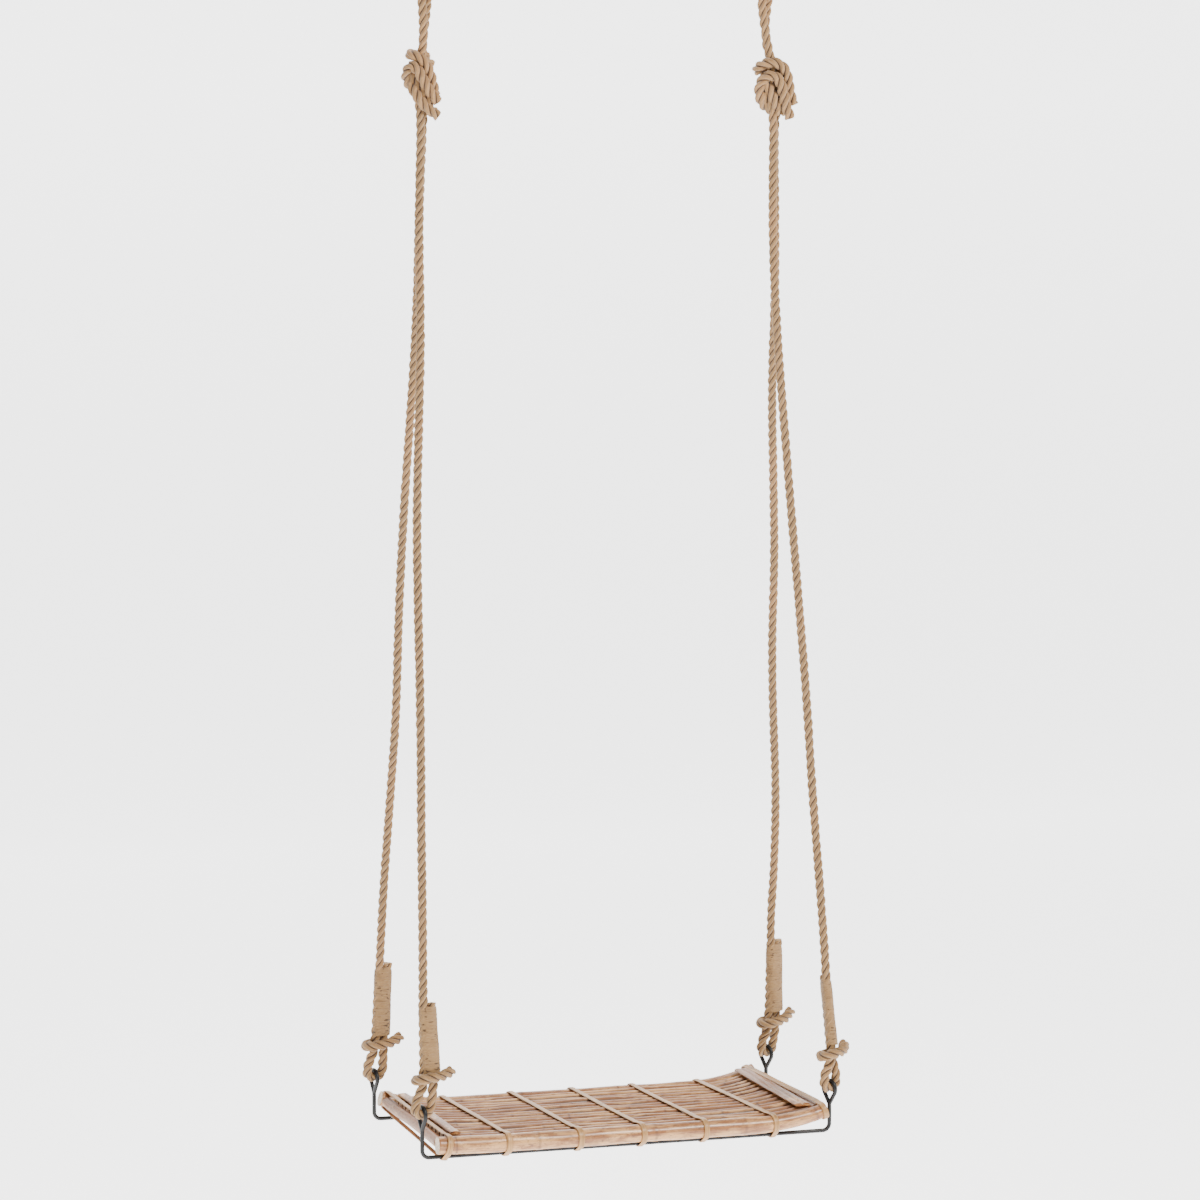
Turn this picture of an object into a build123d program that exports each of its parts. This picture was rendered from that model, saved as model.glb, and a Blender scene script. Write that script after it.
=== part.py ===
from build123d import *
import math
import os

# A rope swing with a cane seat. The origin is the centre of the four ceiling screw holes, on the
# ceiling plane. +X runs to the seat's right end, +Y to its back, +Z up. Millimetres.

os.makedirs("parts", exist_ok=True)

# ---------------------------------------------------------------- driving dimensions
# where the swing hangs
ring_half_spacing = 302.0  # ceiling fitting to the middle plane, along X
eye_half_spacing = 360.0  # iron stem to the middle plane, along X
eye_y = 160.0  # iron stem to the middle plane, along Y
stem_top_z = -2004.0  # top of an iron stem, where its eye begins

# ceiling fitting
plate_width = 34.0
plate_length = 90.0
plate_thickness = 5.0
plate_corner_radius = 6.0
screw_offset = 32.0
screw_hole_radius = 2.75
screw_head_radius = 5.2
fitting_rod_radius = 4.0
staple_half_width = 14.0
staple_drop = 29.0
staple_bend_radius = 8.0
ring_radius = 22.0
pin_gap = 0.3  # clearance of everything that turns on a rod of the ceiling fitting

# rope
rope_radius = 7.5
strand_gap = 0.2  # between two runs of rope that lie side by side
knot_below_rod = 211.3  # middle of the top knot below the ring's lowest rod
knot_lean = 9.0  # top knot further out than its ceiling fitting, along X
knot_height = 122.0
knot_width = 66.0
knot_depth = 46.0
knot_face_width = 38.0
knot_face_depth = 34.0

# lower rope ends
whipping_start = 60.0  # above the eye's rod, along the rope
whipping_length = 117.0
whipping_wall = 1.5
whipping_gap = 0.1
tail_length = 6.0  # cut end above the whipping
pair_height = 36.0  # where the two strands of the loop come together
collar_height = 49.0
collar_tilt = 12.0
collar_slack = 1.6
collar_stub = 20.0
loop_half_width = 14.2
loop_side_height = 14.0
loop_side_radius = 40.0
eye_gap = 1.5  # clearance of the rope in the iron eye

# iron hangers
hanger_rod_radius = 3.5
stem_height = 46.0
hanger_bend_radius = 12.0
eye_height = 40.0  # stem top to the middle of the eye's highest rod
eye_arc_radius = 14.0

# seat
rail_outset = 7.0  # a rail's middle outside the iron stems, along Y
front_rail_left_inset = 24.0  # end of a rail inside the iron stem, along X
front_rail_right_inset = 9.0
back_rail_left_inset = 12.0
back_rail_right_inset = 20.0
front_rail_radius = 15.5
front_rail_tip_radius = 12.0  # the front rail thins towards its right end
back_rail_radius = 13.5
bend_length = 126.0  # stretch at each end in which the canes curve up
bend_inset = 14.0  # end of that stretch inside the iron stem, along X
front_left_rise = 3.0
front_right_rise = 18.0
back_left_rise = 17.0
back_right_rise = 28.0
slat_radii = [9.8, 9.1, 9.9, 8.8, 9.6, 9.3, 10.0, 9.0]
slat_pitch = 20.5
slat_raise = 3.5
slat_inset = 22.5  # slat end inside the end of the rails
end_cane_radius = 9.5
end_cane_inset = 9.0
end_cane_gap = 0.8
batten_width = {"left": 17.0, "right": 27.0}
batten_inset = {"left": 37.0, "right": 35.0}
batten_thickness = 6.0
batten_edge_radius = 2.6
bearer_radius = 6.5
seat_gap = 0.3  # small clearance between canes, and under the rails

# cane ties
tie_front_insets = (17.0, 6.0)  # first and last tie inside the left and the right end of the rail
tie_back_insets = (11.0, 12.0)
tie_front_shifts = [0.0, -6.3, 7.3, 7.0, 6.7, 20.3, 0.0]  # each tie off its even place
tie_back_shifts = [0.0, -11.2, 2.7, 3.5, 4.3, 16.2, 0.0]
tie_width = 8.0
tie_thickness = 1.6
tie_gap = 0.8

# Hand-set runs of the rope. Each leg's bends are a share of the way up from the whipping to the
# knot, then the distance off the straight line in X and in Y.
leg_start = 60.0  # first stretch of a leg, in line with its whipping
leg_bends = {
    "left_front": [(0.11, 0.5, 0.8), (0.21, -0.8, -0.6), (0.32, -0.6, -1.4), (0.43, -2.6, 0.5),
                   (0.54, -5.0, 1.6), (0.65, -2.4, 0.4), (0.76, 0.6, -1.2), (0.88, -4.0, 0.6)],
    "left_back": [(0.1, 0.4, -1.0), (0.2, 5.2, 0.6), (0.31, 9.6, 1.8), (0.43, 5.0, 0.2),
                  (0.55, 4.6, -1.5), (0.67, 7.6, -0.4), (0.78, 9.2, 1.4), (0.89, 3.4, 0.8)],
    "right_front": [(0.1, -1.0, -0.9), (0.21, -3.4, 0.8), (0.32, -2.6, 1.9), (0.43, -6.0, 0.4),
                    (0.54, -10.4, -1.2), (0.65, -13.6, 0.2), (0.76, -16.6, 1.3), (0.88, -14.2, 0.5)],
    "right_back": [(0.09, 7.0, 0.9), (0.19, 11.4, -0.5), (0.29, 5.6, -1.6), (0.38, 4.6, -0.3),
                   (0.48, 11.2, 1.4), (0.58, 6.8, 0.6), (0.69, 0.8, -1.1), (0.8, 5.6, -0.4),
                   (0.9, 3.6, 0.7)],
}
# Each half of the bight: drop below the ring's rod, then the distance from the fitting's middle
# along X and along Y.
bight_bends = [(15.3, 12.2, 0.5), (62.0, 7.8, 5.2), (110.0, 3.0, 7.5)]
# Turn of the iron eye about the upright, then the extra turn of the whipped pair above it.
eye_turn = {"left": 10.0, "right": 25.0}
pair_turn = {"left_front": 0.0, "left_back": 4.0, "right_front": 55.0, "right_back": -6.0}

# ---------------------------------------------------------------- places worked out from them
staple_z = -staple_drop
ring_z = staple_z + 2.0 * fitting_rod_radius + pin_gap - ring_radius
ring_rod_z = ring_z - ring_radius
knot_z = ring_rod_z - knot_below_rod
knot_half_spacing = ring_half_spacing + knot_lean
bar_z = stem_top_z - stem_height
rail_y = eye_y + rail_outset
front_rail_left = front_rail_left_inset - eye_half_spacing
front_rail_right = eye_half_spacing - front_rail_right_inset
back_rail_left = back_rail_left_inset - eye_half_spacing
back_rail_right = eye_half_spacing - back_rail_right_inset
bend_start = eye_half_spacing - bend_inset - bend_length
bar_reach = hanger_rod_radius + seat_gap  # a rail rests on the outer side of the iron bar
front_rail_z = bar_z + math.sqrt((bar_reach + front_rail_radius) ** 2 - rail_outset ** 2)
back_rail_z = bar_z + math.sqrt((bar_reach + back_rail_radius) ** 2 - rail_outset ** 2)
strand_offset = rope_radius + strand_gap / 2.0
sides = {"left": -1.0, "right": 1.0}
ends = {"front": -1.0, "back": 1.0}


def tie_places(left, right, insets, shifts):
    """Where the ties cross a rail: even places between the first and the last, each with its shift."""
    first = left + insets[0]
    step = (right - insets[1] - first) / (len(shifts) - 1)
    return [first + step * i + shift for i, shift in enumerate(shifts)]


tie_front_x = tie_places(front_rail_left, front_rail_right, tie_front_insets, tie_front_shifts)
tie_back_x = tie_places(back_rail_left, back_rail_right, tie_back_insets, tie_back_shifts)


def save(piece, label):
    """Label a finished sub-part and write it."""
    piece.part.label = label
    export_step(piece.part, f"parts/{label}.step")


def bend_radius(before, corner, after):
    """Largest arc that the two straight runs beside a corner leave room for."""
    turn = (corner - before).get_angle(after - corner)
    shorter = min((corner - before).length, (after - corner).length)
    return 0.45 * shorter / math.tan(math.radians(turn) / 2.0)


def bend_radii(points):
    """One arc radius for each inner point of a route."""
    route = [Vector(*point) for point in points]
    return [bend_radius(*route[i - 1:i + 2]) for i in range(1, len(route) - 1)]


def rope_run(label, points, radii):
    """A tube of rope along straight runs joined by tangent arcs."""
    with BuildPart() as run:
        with BuildLine() as route:
            FilletPolyline(*points, radius=radii)
        with BuildSketch(Plane(origin=route.line @ 0, z_dir=route.line % 0)):
            Circle(rope_radius)
        sweep(path=route.line)
    save(run, label)
    length = route.wire().length
    ratio = run.part.volume / (length * math.pi * rope_radius ** 2)
    print(label, f"length {length:.1f}", f"volume ratio {ratio:.4f}", [round(r) for r in radii])
    return length


# ---------------------------------------------------------------- ceiling fittings
for side, sign in sides.items():
    fitting_x = sign * ring_half_spacing

    with BuildPart() as ceiling_plate:
        with BuildSketch(Plane.XY.offset(-plate_thickness)):
            with Locations((fitting_x, 0)):
                RectangleRounded(plate_width, plate_length, plate_corner_radius)
        extrude(amount=plate_thickness)
        screw_seats = [Location((fitting_x, y, -plate_thickness), (180, 0, 0))
                       for y in (-screw_offset, screw_offset)]
        with Locations(*screw_seats):
            CounterSinkHole(screw_hole_radius, screw_head_radius, depth=plate_thickness)
    save(ceiling_plate, f"{side}_ceiling_plate")

    with BuildPart() as staple:
        with BuildLine() as staple_line:
            FilletPolyline((fitting_x - staple_half_width, 0, -plate_thickness),
                           (fitting_x - staple_half_width, 0, staple_z),
                           (fitting_x + staple_half_width, 0, staple_z),
                           (fitting_x + staple_half_width, 0, -plate_thickness),
                           radius=staple_bend_radius)
        with BuildSketch(Plane(origin=staple_line.line @ 0, z_dir=staple_line.line % 0)):
            Circle(fitting_rod_radius)
        sweep(path=staple_line.line)
    save(staple, f"{side}_staple")

    with BuildPart() as ring:
        with Locations(Location((fitting_x, 0, ring_z), (0, 90, 0))):
            Torus(ring_radius, fitting_rod_radius)
    save(ring, f"{side}_ring")


# ---------------------------------------------------------------- ropes
def knot_strand(sign, end_sign):
    """Where a leg enters the bottom of the top knot: one leg in front, the other behind."""
    return Vector(sign * knot_half_spacing + 3.0 * end_sign, end_sign * strand_offset,
                  knot_z - knot_height / 2.0)


def lower_plane(side, end):
    """Plane on an iron eye's highest rod, with its normal along the rope that pulls on it."""
    rod = Vector(sides[side] * eye_half_spacing, ends[end] * eye_y, stem_top_z + eye_height)
    pull = knot_strand(sides[side], ends[end]) - rod
    turn = math.radians(eye_turn[side])
    return Plane(origin=rod, x_dir=(math.cos(turn), math.sin(turn), 0), z_dir=pull)


def turned(plane, turn):
    """The same plane with its x direction turned about its normal."""
    angle = math.radians(turn)
    x_dir = plane.x_dir * math.cos(angle) + plane.y_dir * math.sin(angle)
    return Plane(origin=plane.origin, x_dir=x_dir, z_dir=plane.z_dir)


def pair_point(plane, offset, height, turn):
    """A point of the whipped pair: offset across the pair, height along the rope."""
    return turned(plane, turn).from_local_coords(Vector(offset, 0, height))


knot_top_z = knot_z + knot_height / 2.0
for side, sign in sides.items():
    fitting_x = sign * ring_half_spacing
    knot_x = sign * knot_half_spacing
    rope_length = 0.0

    # over the ring: an arc about the ring's rod, and a strand down each side of it
    arc_offset = fitting_rod_radius + pin_gap + rope_radius
    lean = (knot_x - fitting_x) / (ring_rod_z - knot_top_z)
    front_half = [(fitting_x + lean * drop - out, -deep, ring_rod_z - drop)
                  for drop, out, deep in bight_bends]
    back_half = [(fitting_x + lean * drop + out, deep, ring_rod_z - drop)
                 for drop, out, deep in bight_bends]
    bight = [(knot_x - 1.0, -strand_offset, knot_top_z), *reversed(front_half),
             (fitting_x - arc_offset, 0, ring_rod_z + arc_offset),
             (fitting_x + arc_offset, 0, ring_rod_z + arc_offset),
             *back_half, (knot_x + 1.0, strand_offset, knot_top_z)]
    bight_radii = bend_radii(bight)
    middle = len(bight_radii) // 2
    bight_radii[middle - 1:middle + 1] = [arc_offset - 0.1, arc_offset - 0.1]
    rope_length += rope_run(f"{side}_bight", bight, bight_radii)

    with BuildPart() as top_knot:
        sections = [(-0.5, knot_face_width, knot_face_depth), (-0.28, 0.86 * knot_width, 0.9 * knot_depth),
                    (0.0, knot_width, knot_depth), (0.28, 0.86 * knot_width, 0.9 * knot_depth),
                    (0.5, knot_face_width, knot_face_depth)]
        for share, width, depth in sections:
            with BuildSketch(Plane(origin=(knot_x, 0, knot_z + share * knot_height))):
                Ellipse(width / 2.0, depth / 2.0)
        loft()
    save(top_knot, f"{side}_top_knot")

    for end, end_sign in ends.items():
        corner = f"{side}_{end}"
        plane = lower_plane(side, end)
        turn = pair_turn[corner]
        whipping_top = whipping_start + whipping_length
        loop_drop = hanger_rod_radius + eye_gap + rope_radius

        # the leg: the left strand of the whipped pair runs on up to the knot
        foot = pair_point(plane, -strand_offset, whipping_top, turn)
        head = knot_strand(sign, end_sign)
        leg = [foot, foot + plane.z_dir * leg_start]
        for share, out_x, out_y in leg_bends[corner]:
            leg.append(foot + (head - foot) * share + Vector(out_x, out_y, 0))
        leg.append(head)
        rope_length += rope_run(f"{corner}_leg", leg, bend_radii(leg))

        # the loop: down through the whipping, round the iron eye and up to the cut end
        loop = [foot,
                pair_point(plane, -strand_offset, pair_height, turn),
                pair_point(plane, -loop_half_width, loop_side_height, 0),
                pair_point(plane, -loop_half_width, -loop_drop, 0),
                pair_point(plane, loop_half_width, -loop_drop, 0),
                pair_point(plane, loop_half_width, loop_side_height, 0),
                pair_point(plane, strand_offset, pair_height, turn),
                pair_point(plane, strand_offset, whipping_top + tail_length, turn)]
        loop_radii = bend_radii(loop)
        loop_radii[1] = loop_side_radius
        loop_radii[2:4] = [loop_half_width - 0.1, loop_half_width - 0.1]
        loop_radii[4] = loop_side_radius
        rope_length += rope_run(f"{corner}_eye_loop", loop, loop_radii)

        # the whipping: a sleeve of twine round both strands
        pair = turned(plane, turn)
        hole_radius = rope_radius + whipping_gap
        with BuildPart() as whipping:
            with BuildSketch(pair.offset(whipping_start)):
                SlotCenterToCenter(2.0 * strand_offset, 2.0 * (hole_radius + whipping_wall))
                SlotCenterToCenter(2.0 * strand_offset, 2.0 * hole_radius, mode=Mode.SUBTRACT)
            extrude(amount=whipping_length)
        save(whipping, f"{corner}_whipping")

        # the collar: a turn of rope round both strands, its cut end standing out to the right
        tilt = math.radians(collar_tilt)
        collar_plane = Plane(origin=pair.from_local_coords(Vector(0, 0, collar_height)),
                             x_dir=pair.x_dir * math.cos(tilt) + pair.z_dir * math.sin(tilt),
                             z_dir=pair.z_dir * math.cos(tilt) - pair.x_dir * math.sin(tilt))
        collar_reach = rope_radius + whipping_gap + rope_radius
        collar_half = strand_offset + collar_slack
        stub_start = (collar_half + 0.6 * collar_reach, -0.8 * collar_reach, 0)
        with BuildPart() as collar:
            with BuildLine(collar_plane) as collar_line:
                Line((-collar_half, -collar_reach), (collar_half, -collar_reach))
                ThreePointArc((collar_half, -collar_reach), (collar_half + collar_reach, 0),
                              (collar_half, collar_reach))
                Line((collar_half, collar_reach), (-collar_half, collar_reach))
                ThreePointArc((-collar_half, collar_reach), (-collar_half - collar_reach, 0),
                              (-collar_half, -collar_reach))
            with BuildSketch(Plane(origin=collar_line.line @ 0, z_dir=collar_line.line % 0)):
                Circle(rope_radius)
            sweep(path=collar_line.line)
            stub_plane = Plane(origin=collar_plane.from_local_coords(Vector(*stub_start)),
                               z_dir=collar_plane.x_dir)
            with BuildSketch(stub_plane):
                Circle(rope_radius)
            extrude(amount=collar_stub)
        save(collar, f"{corner}_collar")
    print(side, f"rope without its knot {rope_length:.0f} mm")


# ---------------------------------------------------------------- iron hangers
def eye_side(plane, mirror):
    """Half of a teardrop eye, from the stem's top to the middle of its highest rod."""
    centre = eye_height - eye_arc_radius
    reach = math.sqrt(centre ** 2 - eye_arc_radius ** 2)
    lean = math.asin(eye_arc_radius / centre)
    touch = (mirror * reach * math.sin(lean), reach * math.cos(lean))
    shoulder = (mirror * eye_arc_radius * math.cos(0.5), centre + eye_arc_radius * math.sin(0.5))
    with BuildLine(plane) as half:
        Line((0, 0), touch)
        ThreePointArc(touch, shoulder, (0, eye_height))
    return half.line


for end, end_sign in ends.items():
    with BuildPart() as hanger:
        with BuildLine() as bar_line:
            FilletPolyline((-eye_half_spacing, end_sign * eye_y, stem_top_z),
                           (-eye_half_spacing, end_sign * eye_y, bar_z),
                           (eye_half_spacing, end_sign * eye_y, bar_z),
                           (eye_half_spacing, end_sign * eye_y, stem_top_z),
                           radius=hanger_bend_radius)
        with BuildSketch(Plane(origin=bar_line.line @ 0, z_dir=bar_line.line % 0)):
            Circle(hanger_rod_radius)
        sweep(path=bar_line.line)
        for side, sign in sides.items():
            turn = math.radians(eye_turn[side])
            stem_top = (sign * eye_half_spacing, end_sign * eye_y, stem_top_z)
            eye_plane = Plane(origin=stem_top, x_dir=(-math.sin(turn), math.cos(turn), 0),
                              z_dir=(math.cos(turn), math.sin(turn), 0))
            with Locations(stem_top):
                Sphere(hanger_rod_radius)
            for mirror in (-1.0, 1.0):
                half_eye = eye_side(eye_plane, mirror)
                with BuildSketch(Plane(origin=half_eye @ 0, z_dir=half_eye % 0)):
                    Circle(hanger_rod_radius)
                sweep(path=half_eye)
    save(hanger, f"{end}_hanger")


# ---------------------------------------------------------------- cane seat
def across(y, front, back):
    """A value between the front rail and the back rail, by depth."""
    return front + (back - front) * (y + rail_y) / (2.0 * rail_y)


def curve_up(x, rise):
    """Height gained at x by a cane that is straight, then an arc that gains rise by its end."""
    beyond = max(0.0, abs(x) - bend_start)
    arc = (bend_length ** 2 + rise ** 2) / (2.0 * rise)
    return arc - math.sqrt(arc ** 2 - beyond ** 2)


def cane_rise(x, y):
    """Height gained by the seat at a place, from the rises of its four corners."""
    if x < 0:
        return curve_up(x, across(y, front_left_rise, back_left_rise))
    return curve_up(x, across(y, front_right_rise, back_right_rise))


def seat_z(x, y):
    """Height of the rails' middle surface at a place."""
    return across(y, front_rail_z, back_rail_z) + cane_rise(x, y)


def front_radius(x):
    """The front rail keeps its radius to the bend and then thins to its right tip."""
    share = max(0.0, x - bend_start) / (front_rail_right - bend_start)
    return front_rail_radius + (front_rail_tip_radius - front_rail_radius) * share


def cane_stretches(y, left, right, raised):
    """Points of a cane's two arcs and of the straight between them."""
    places = [left, (left - bend_start) / 2.0, -bend_start, bend_start,
              (right + bend_start) / 2.0, right]
    points = [(x, y, seat_z(x, y) + raised) for x in places]
    return points[0:3], points[2:4], points[3:6]


def evenly(first, last, steps):
    """Places from first to last, both included."""
    return [first + (last - first) * i / steps for i in range(steps + 1)]


with BuildPart() as front_rail:
    stations = [*evenly(front_rail_left, -bend_start, 4), *evenly(-bend_start, bend_start, 18)[1:-1],
                *evenly(bend_start, front_rail_right, 5)]
    for x in stations:
        slope = seat_z(x + 0.5, -rail_y) - seat_z(x - 0.5, -rail_y)
        with BuildSketch(Plane(origin=(x, -rail_y, seat_z(x, -rail_y)), z_dir=(1, 0, slope))):
            Circle(front_radius(x))
    loft()
save(front_rail, "front_rail")

with BuildPart() as back_rail:
    with BuildLine() as back_line:
        for stretch in cane_stretches(rail_y, back_rail_left, back_rail_right, 0):
            if len(stretch) == 3:
                ThreePointArc(*stretch)
            else:
                Line(*stretch)
    with BuildSketch(Plane(origin=back_line.line @ 0, z_dir=back_line.line % 0)):
        Circle(back_rail_radius)
    sweep(path=back_line.line)
save(back_rail, "back_rail")

# slats fill the space between the rails with even gaps
inner_front = -rail_y + front_rail_radius
inner_back = rail_y - back_rail_radius
slat_count = int((inner_back - inner_front) // slat_pitch)
radii = [slat_radii[i % len(slat_radii)] for i in range(slat_count)]
slat_gap = (inner_back - inner_front - 2.0 * sum(radii)) / (slat_count + 1)
slat_y = inner_front
for i, radius in enumerate(radii):
    slat_y += slat_gap + radius
    left = across(slat_y, front_rail_left, back_rail_left) + slat_inset
    right = across(slat_y, front_rail_right, back_rail_right) - slat_inset
    left_arc, straight, right_arc = cane_stretches(slat_y, left, right, slat_raise)
    with BuildPart() as slat:
        with BuildLine() as slat_line:
            ThreePointArc(*left_arc)
            Line(*straight)
            ThreePointArc(*right_arc)
        with BuildSketch(Plane(origin=slat_line.line @ 0, z_dir=slat_line.line % 0)):
            Circle(radius)
        sweep(path=slat_line.line)
    save(slat, f"slat_{i + 1:02d}")
    slat_y += radius
print("slats", slat_count, f"gap {slat_gap:.2f}")

# end canes and split-cane battens run from rail to rail at both ends of the slats
batten_raise = slat_raise + max(radii) + 2.0 * seat_gap + batten_thickness / 2.0
for side, sign in sides.items():
    front_end = front_rail_left if sign < 0 else front_rail_right
    back_end = back_rail_left if sign < 0 else back_rail_right
    y_front = inner_front + end_cane_gap
    y_back = inner_back - end_cane_gap

    with BuildPart() as end_cane:
        cane_x = [across(y, front_end, back_end) - sign * end_cane_inset for y in (y_front, y_back)]
        start = Vector(cane_x[0], y_front, seat_z(cane_x[0], y_front))
        finish = Vector(cane_x[1], y_back, seat_z(cane_x[1], y_back))
        with BuildSketch(Plane(origin=start, z_dir=finish - start)):
            Circle(end_cane_radius)
        extrude(amount=(finish - start).length)
    save(end_cane, f"{side}_end_cane")

    with BuildPart() as batten:
        batten_x = [across(y, front_end, back_end) - sign * batten_inset[side] for y in (y_front, y_back)]
        slopes = [seat_z(x + 0.5, y) - seat_z(x - 0.5, y) for x, y in zip(batten_x, (y_front, y_back))]
        slope = sum(slopes) / 2.0
        twist = abs(slopes[1] - slopes[0]) / 2.0 * batten_width[side] / 2.0
        raised = batten_raise + twist
        start = Vector(batten_x[0], y_front, seat_z(batten_x[0], y_front) + raised)
        finish = Vector(batten_x[1], y_back, seat_z(batten_x[1], y_back) + raised)
        with BuildSketch(Plane(origin=start, x_dir=(1, 0, slope), z_dir=finish - start)):
            RectangleRounded(batten_width[side], batten_thickness, batten_edge_radius)
        extrude(amount=(finish - start).length)
    save(batten, f"{side}_batten")


# ---------------------------------------------------------------- ties and bearers
def tie_plane(front_x, back_x):
    """Plane through a tie's crossings of both rails, leaning with their mean slope."""
    start = Vector(front_x, -rail_y, seat_z(front_x, -rail_y))
    along = (Vector(back_x, rail_y, seat_z(back_x, rail_y)) - start).normalized()
    slopes = [seat_z(x + 0.5, y) - seat_z(x - 0.5, y) for x, y in ((front_x, -rail_y), (back_x, rail_y))]
    rail_run = Vector(1, 0, sum(slopes) / 2.0)
    return Plane(origin=start, x_dir=along, z_dir=rail_run - along * rail_run.dot(along))


def hugged(plane, front_x, back_x):
    """The rounds that a tie is pulled round: place in its plane and radius. An iron bar is one of
    them where the rail above it, with the tie round it, doesn't clear the bar."""
    rounds = [(Vector(front_x, -rail_y, seat_z(front_x, -rail_y)), front_radius(front_x)),
              (Vector(back_x, rail_y, seat_z(back_x, rail_y)), back_rail_radius)]
    # a level bar crosses a leaning tie beside the rail's place, and drifts over the tie's width
    normal = plane.z_dir
    drift = abs(normal.Z / normal.X) * tie_width / 2.0
    for (rail, rail_radius), x, y in zip(rounds[:2], (front_x, back_x), (-eye_y, eye_y)):
        underside = rail.Z - rail_radius - tie_gap - tie_thickness
        if underside < bar_z + hanger_rod_radius + tie_gap + drift:
            below = Vector(x, y, bar_z)
            crossing = below + Vector((plane.origin - below).dot(normal) / normal.X, 0, 0)
            rounds.append((crossing, hanger_rod_radius + drift))
    places = [(plane.to_local_coords(centre), radius) for centre, radius in rounds]
    return [((place.X, place.Y), radius) for place, radius in places]


last_tie = len(tie_front_x) - 1
for i, (front_x, back_x) in enumerate(zip(tie_front_x, tie_back_x)):
    plane = tie_plane(front_x, back_x)
    rounds = hugged(plane, front_x, back_x)
    with BuildPart() as tie:
        with BuildSketch(plane):
            for place, radius in rounds:
                with Locations(place):
                    Circle(radius + tie_gap + tie_thickness)
            make_hull()
        extrude(amount=tie_width / 2.0, both=True)
        with BuildSketch(plane):
            for place, radius in rounds:
                with Locations(place):
                    Circle(radius + tie_gap)
            make_hull()
        extrude(amount=tie_width, both=True, mode=Mode.SUBTRACT)
    save(tie, f"tie_{i + 1}")

# a bearer cane under each inner tie carries the slats
bearer_drop = max(radii) - slat_raise + seat_gap + bearer_radius
bearer_z = min(front_rail_z, back_rail_z) - bearer_drop
for i in range(1, last_tie):
    start_y = inner_front + seat_gap
    end_y = inner_back - seat_gap
    start = Vector(across(start_y, tie_front_x[i], tie_back_x[i]), start_y, bearer_z)
    finish = Vector(across(end_y, tie_front_x[i], tie_back_x[i]), end_y, bearer_z)
    with BuildPart() as bearer:
        with BuildSketch(Plane(origin=start, z_dir=finish - start)):
            Circle(bearer_radius)
        extrude(amount=(finish - start).length)
    save(bearer, f"bearer_{i}")

print("total height", round(-bar_z + hanger_rod_radius, 1))
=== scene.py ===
"""A rope swing with a slatted cane seat: the visible pieces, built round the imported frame."""

import math
from functools import cache

import bpy
import numpy as np
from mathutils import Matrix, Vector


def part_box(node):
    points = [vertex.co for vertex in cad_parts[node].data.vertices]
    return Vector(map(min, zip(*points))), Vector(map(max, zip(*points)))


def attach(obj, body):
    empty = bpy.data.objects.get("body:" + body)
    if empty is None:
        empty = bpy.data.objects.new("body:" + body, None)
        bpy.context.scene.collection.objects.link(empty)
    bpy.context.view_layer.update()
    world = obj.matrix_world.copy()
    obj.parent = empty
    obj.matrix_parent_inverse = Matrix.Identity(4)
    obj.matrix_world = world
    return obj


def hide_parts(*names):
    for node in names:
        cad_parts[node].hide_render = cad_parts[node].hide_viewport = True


bl_info = {
    "name": "Rope Swing with Cane Seat",
    "version": (1, 0, 0),
    "blender": (4, 5, 0),
    "location": "View3D > Sidebar > Rope Swing",
    "description": "Builds a rope swing: knotted jute ropes, iron hangers and a tied cane seat",
    "category": "Object",
}

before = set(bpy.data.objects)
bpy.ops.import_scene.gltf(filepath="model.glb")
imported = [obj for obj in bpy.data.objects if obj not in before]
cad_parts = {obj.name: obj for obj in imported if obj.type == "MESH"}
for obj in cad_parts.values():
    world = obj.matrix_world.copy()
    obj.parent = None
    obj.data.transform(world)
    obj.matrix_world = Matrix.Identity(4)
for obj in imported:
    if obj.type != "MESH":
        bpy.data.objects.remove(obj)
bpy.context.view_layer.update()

SIDES = {"left": -1.0, "right": 1.0}
ENDS = {"front": -1.0, "back": 1.0}


# ---- sizes and colours
def size_property(name, words, default, unit="LENGTH"):
    """A size that a user may change, in metres unless another unit is given."""
    return bpy.props.FloatProperty(name=name, description=words, default=default, unit=unit, precision=4)


def colour_property(name, words, default):
    """A colour that a user may change."""
    return bpy.props.FloatVectorProperty(
        name=name, description=words, default=(*default, 1.0), size=4, subtype="COLOR", min=0.0, max=1.0
    )


class RopeSettings(bpy.types.PropertyGroup):
    """Sizes and colours of the ropes, knots and whippings."""

    radius: size_property("Rope radius", "Half the thickness of the three-strand rope", 0.0075)
    lay: size_property("Lay", "Length of rope in which a strand goes once round", 0.048)
    twine: size_property("Twine pitch", "Height of one turn of the whipping twine", 0.0021)
    jute: colour_property("Jute", "Middle colour of the rope", (0.215, 0.114, 0.040))
    jute_pale: colour_property("Pale jute", "Colour of the rope's bleached fibres", (0.42, 0.262, 0.115))
    # Dark jute: the colour of dark fibres, and also of painted shade deep between the strands and between the
    # twine's turns.
    jute_dark_and_shade: colour_property("Dark jute", "Colour deep between the strands", (0.030, 0.012, 0.004))
    whipping: colour_property("Whipping", "Middle colour of the whipping twine", (0.26, 0.148, 0.058))


class CaneSettings(bpy.types.PropertyGroup):
    """Sizes and colours of the seat's canes."""

    joint: size_property("Joint length", "Usual length of cane between two joints", 0.165)
    tie_width: size_property("Tie width", "Width of the peeled strips that tie the seat", 0.0098)
    tie_thickness: size_property("Tie thickness", "Thickness of the peeled strips", 0.0022)
    pale: colour_property("Pale cane", "Lightest cane skin", (0.60, 0.31, 0.110))
    warm: colour_property("Warm cane", "Usual cane skin", (0.27, 0.098, 0.021))
    brown: colour_property("Brown cane", "Weathered patches and the canes' joints", (0.075, 0.021, 0.004))
    strip: colour_property("Strip", "Colour of the peeled strips", (0.30, 0.155, 0.046))


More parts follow.
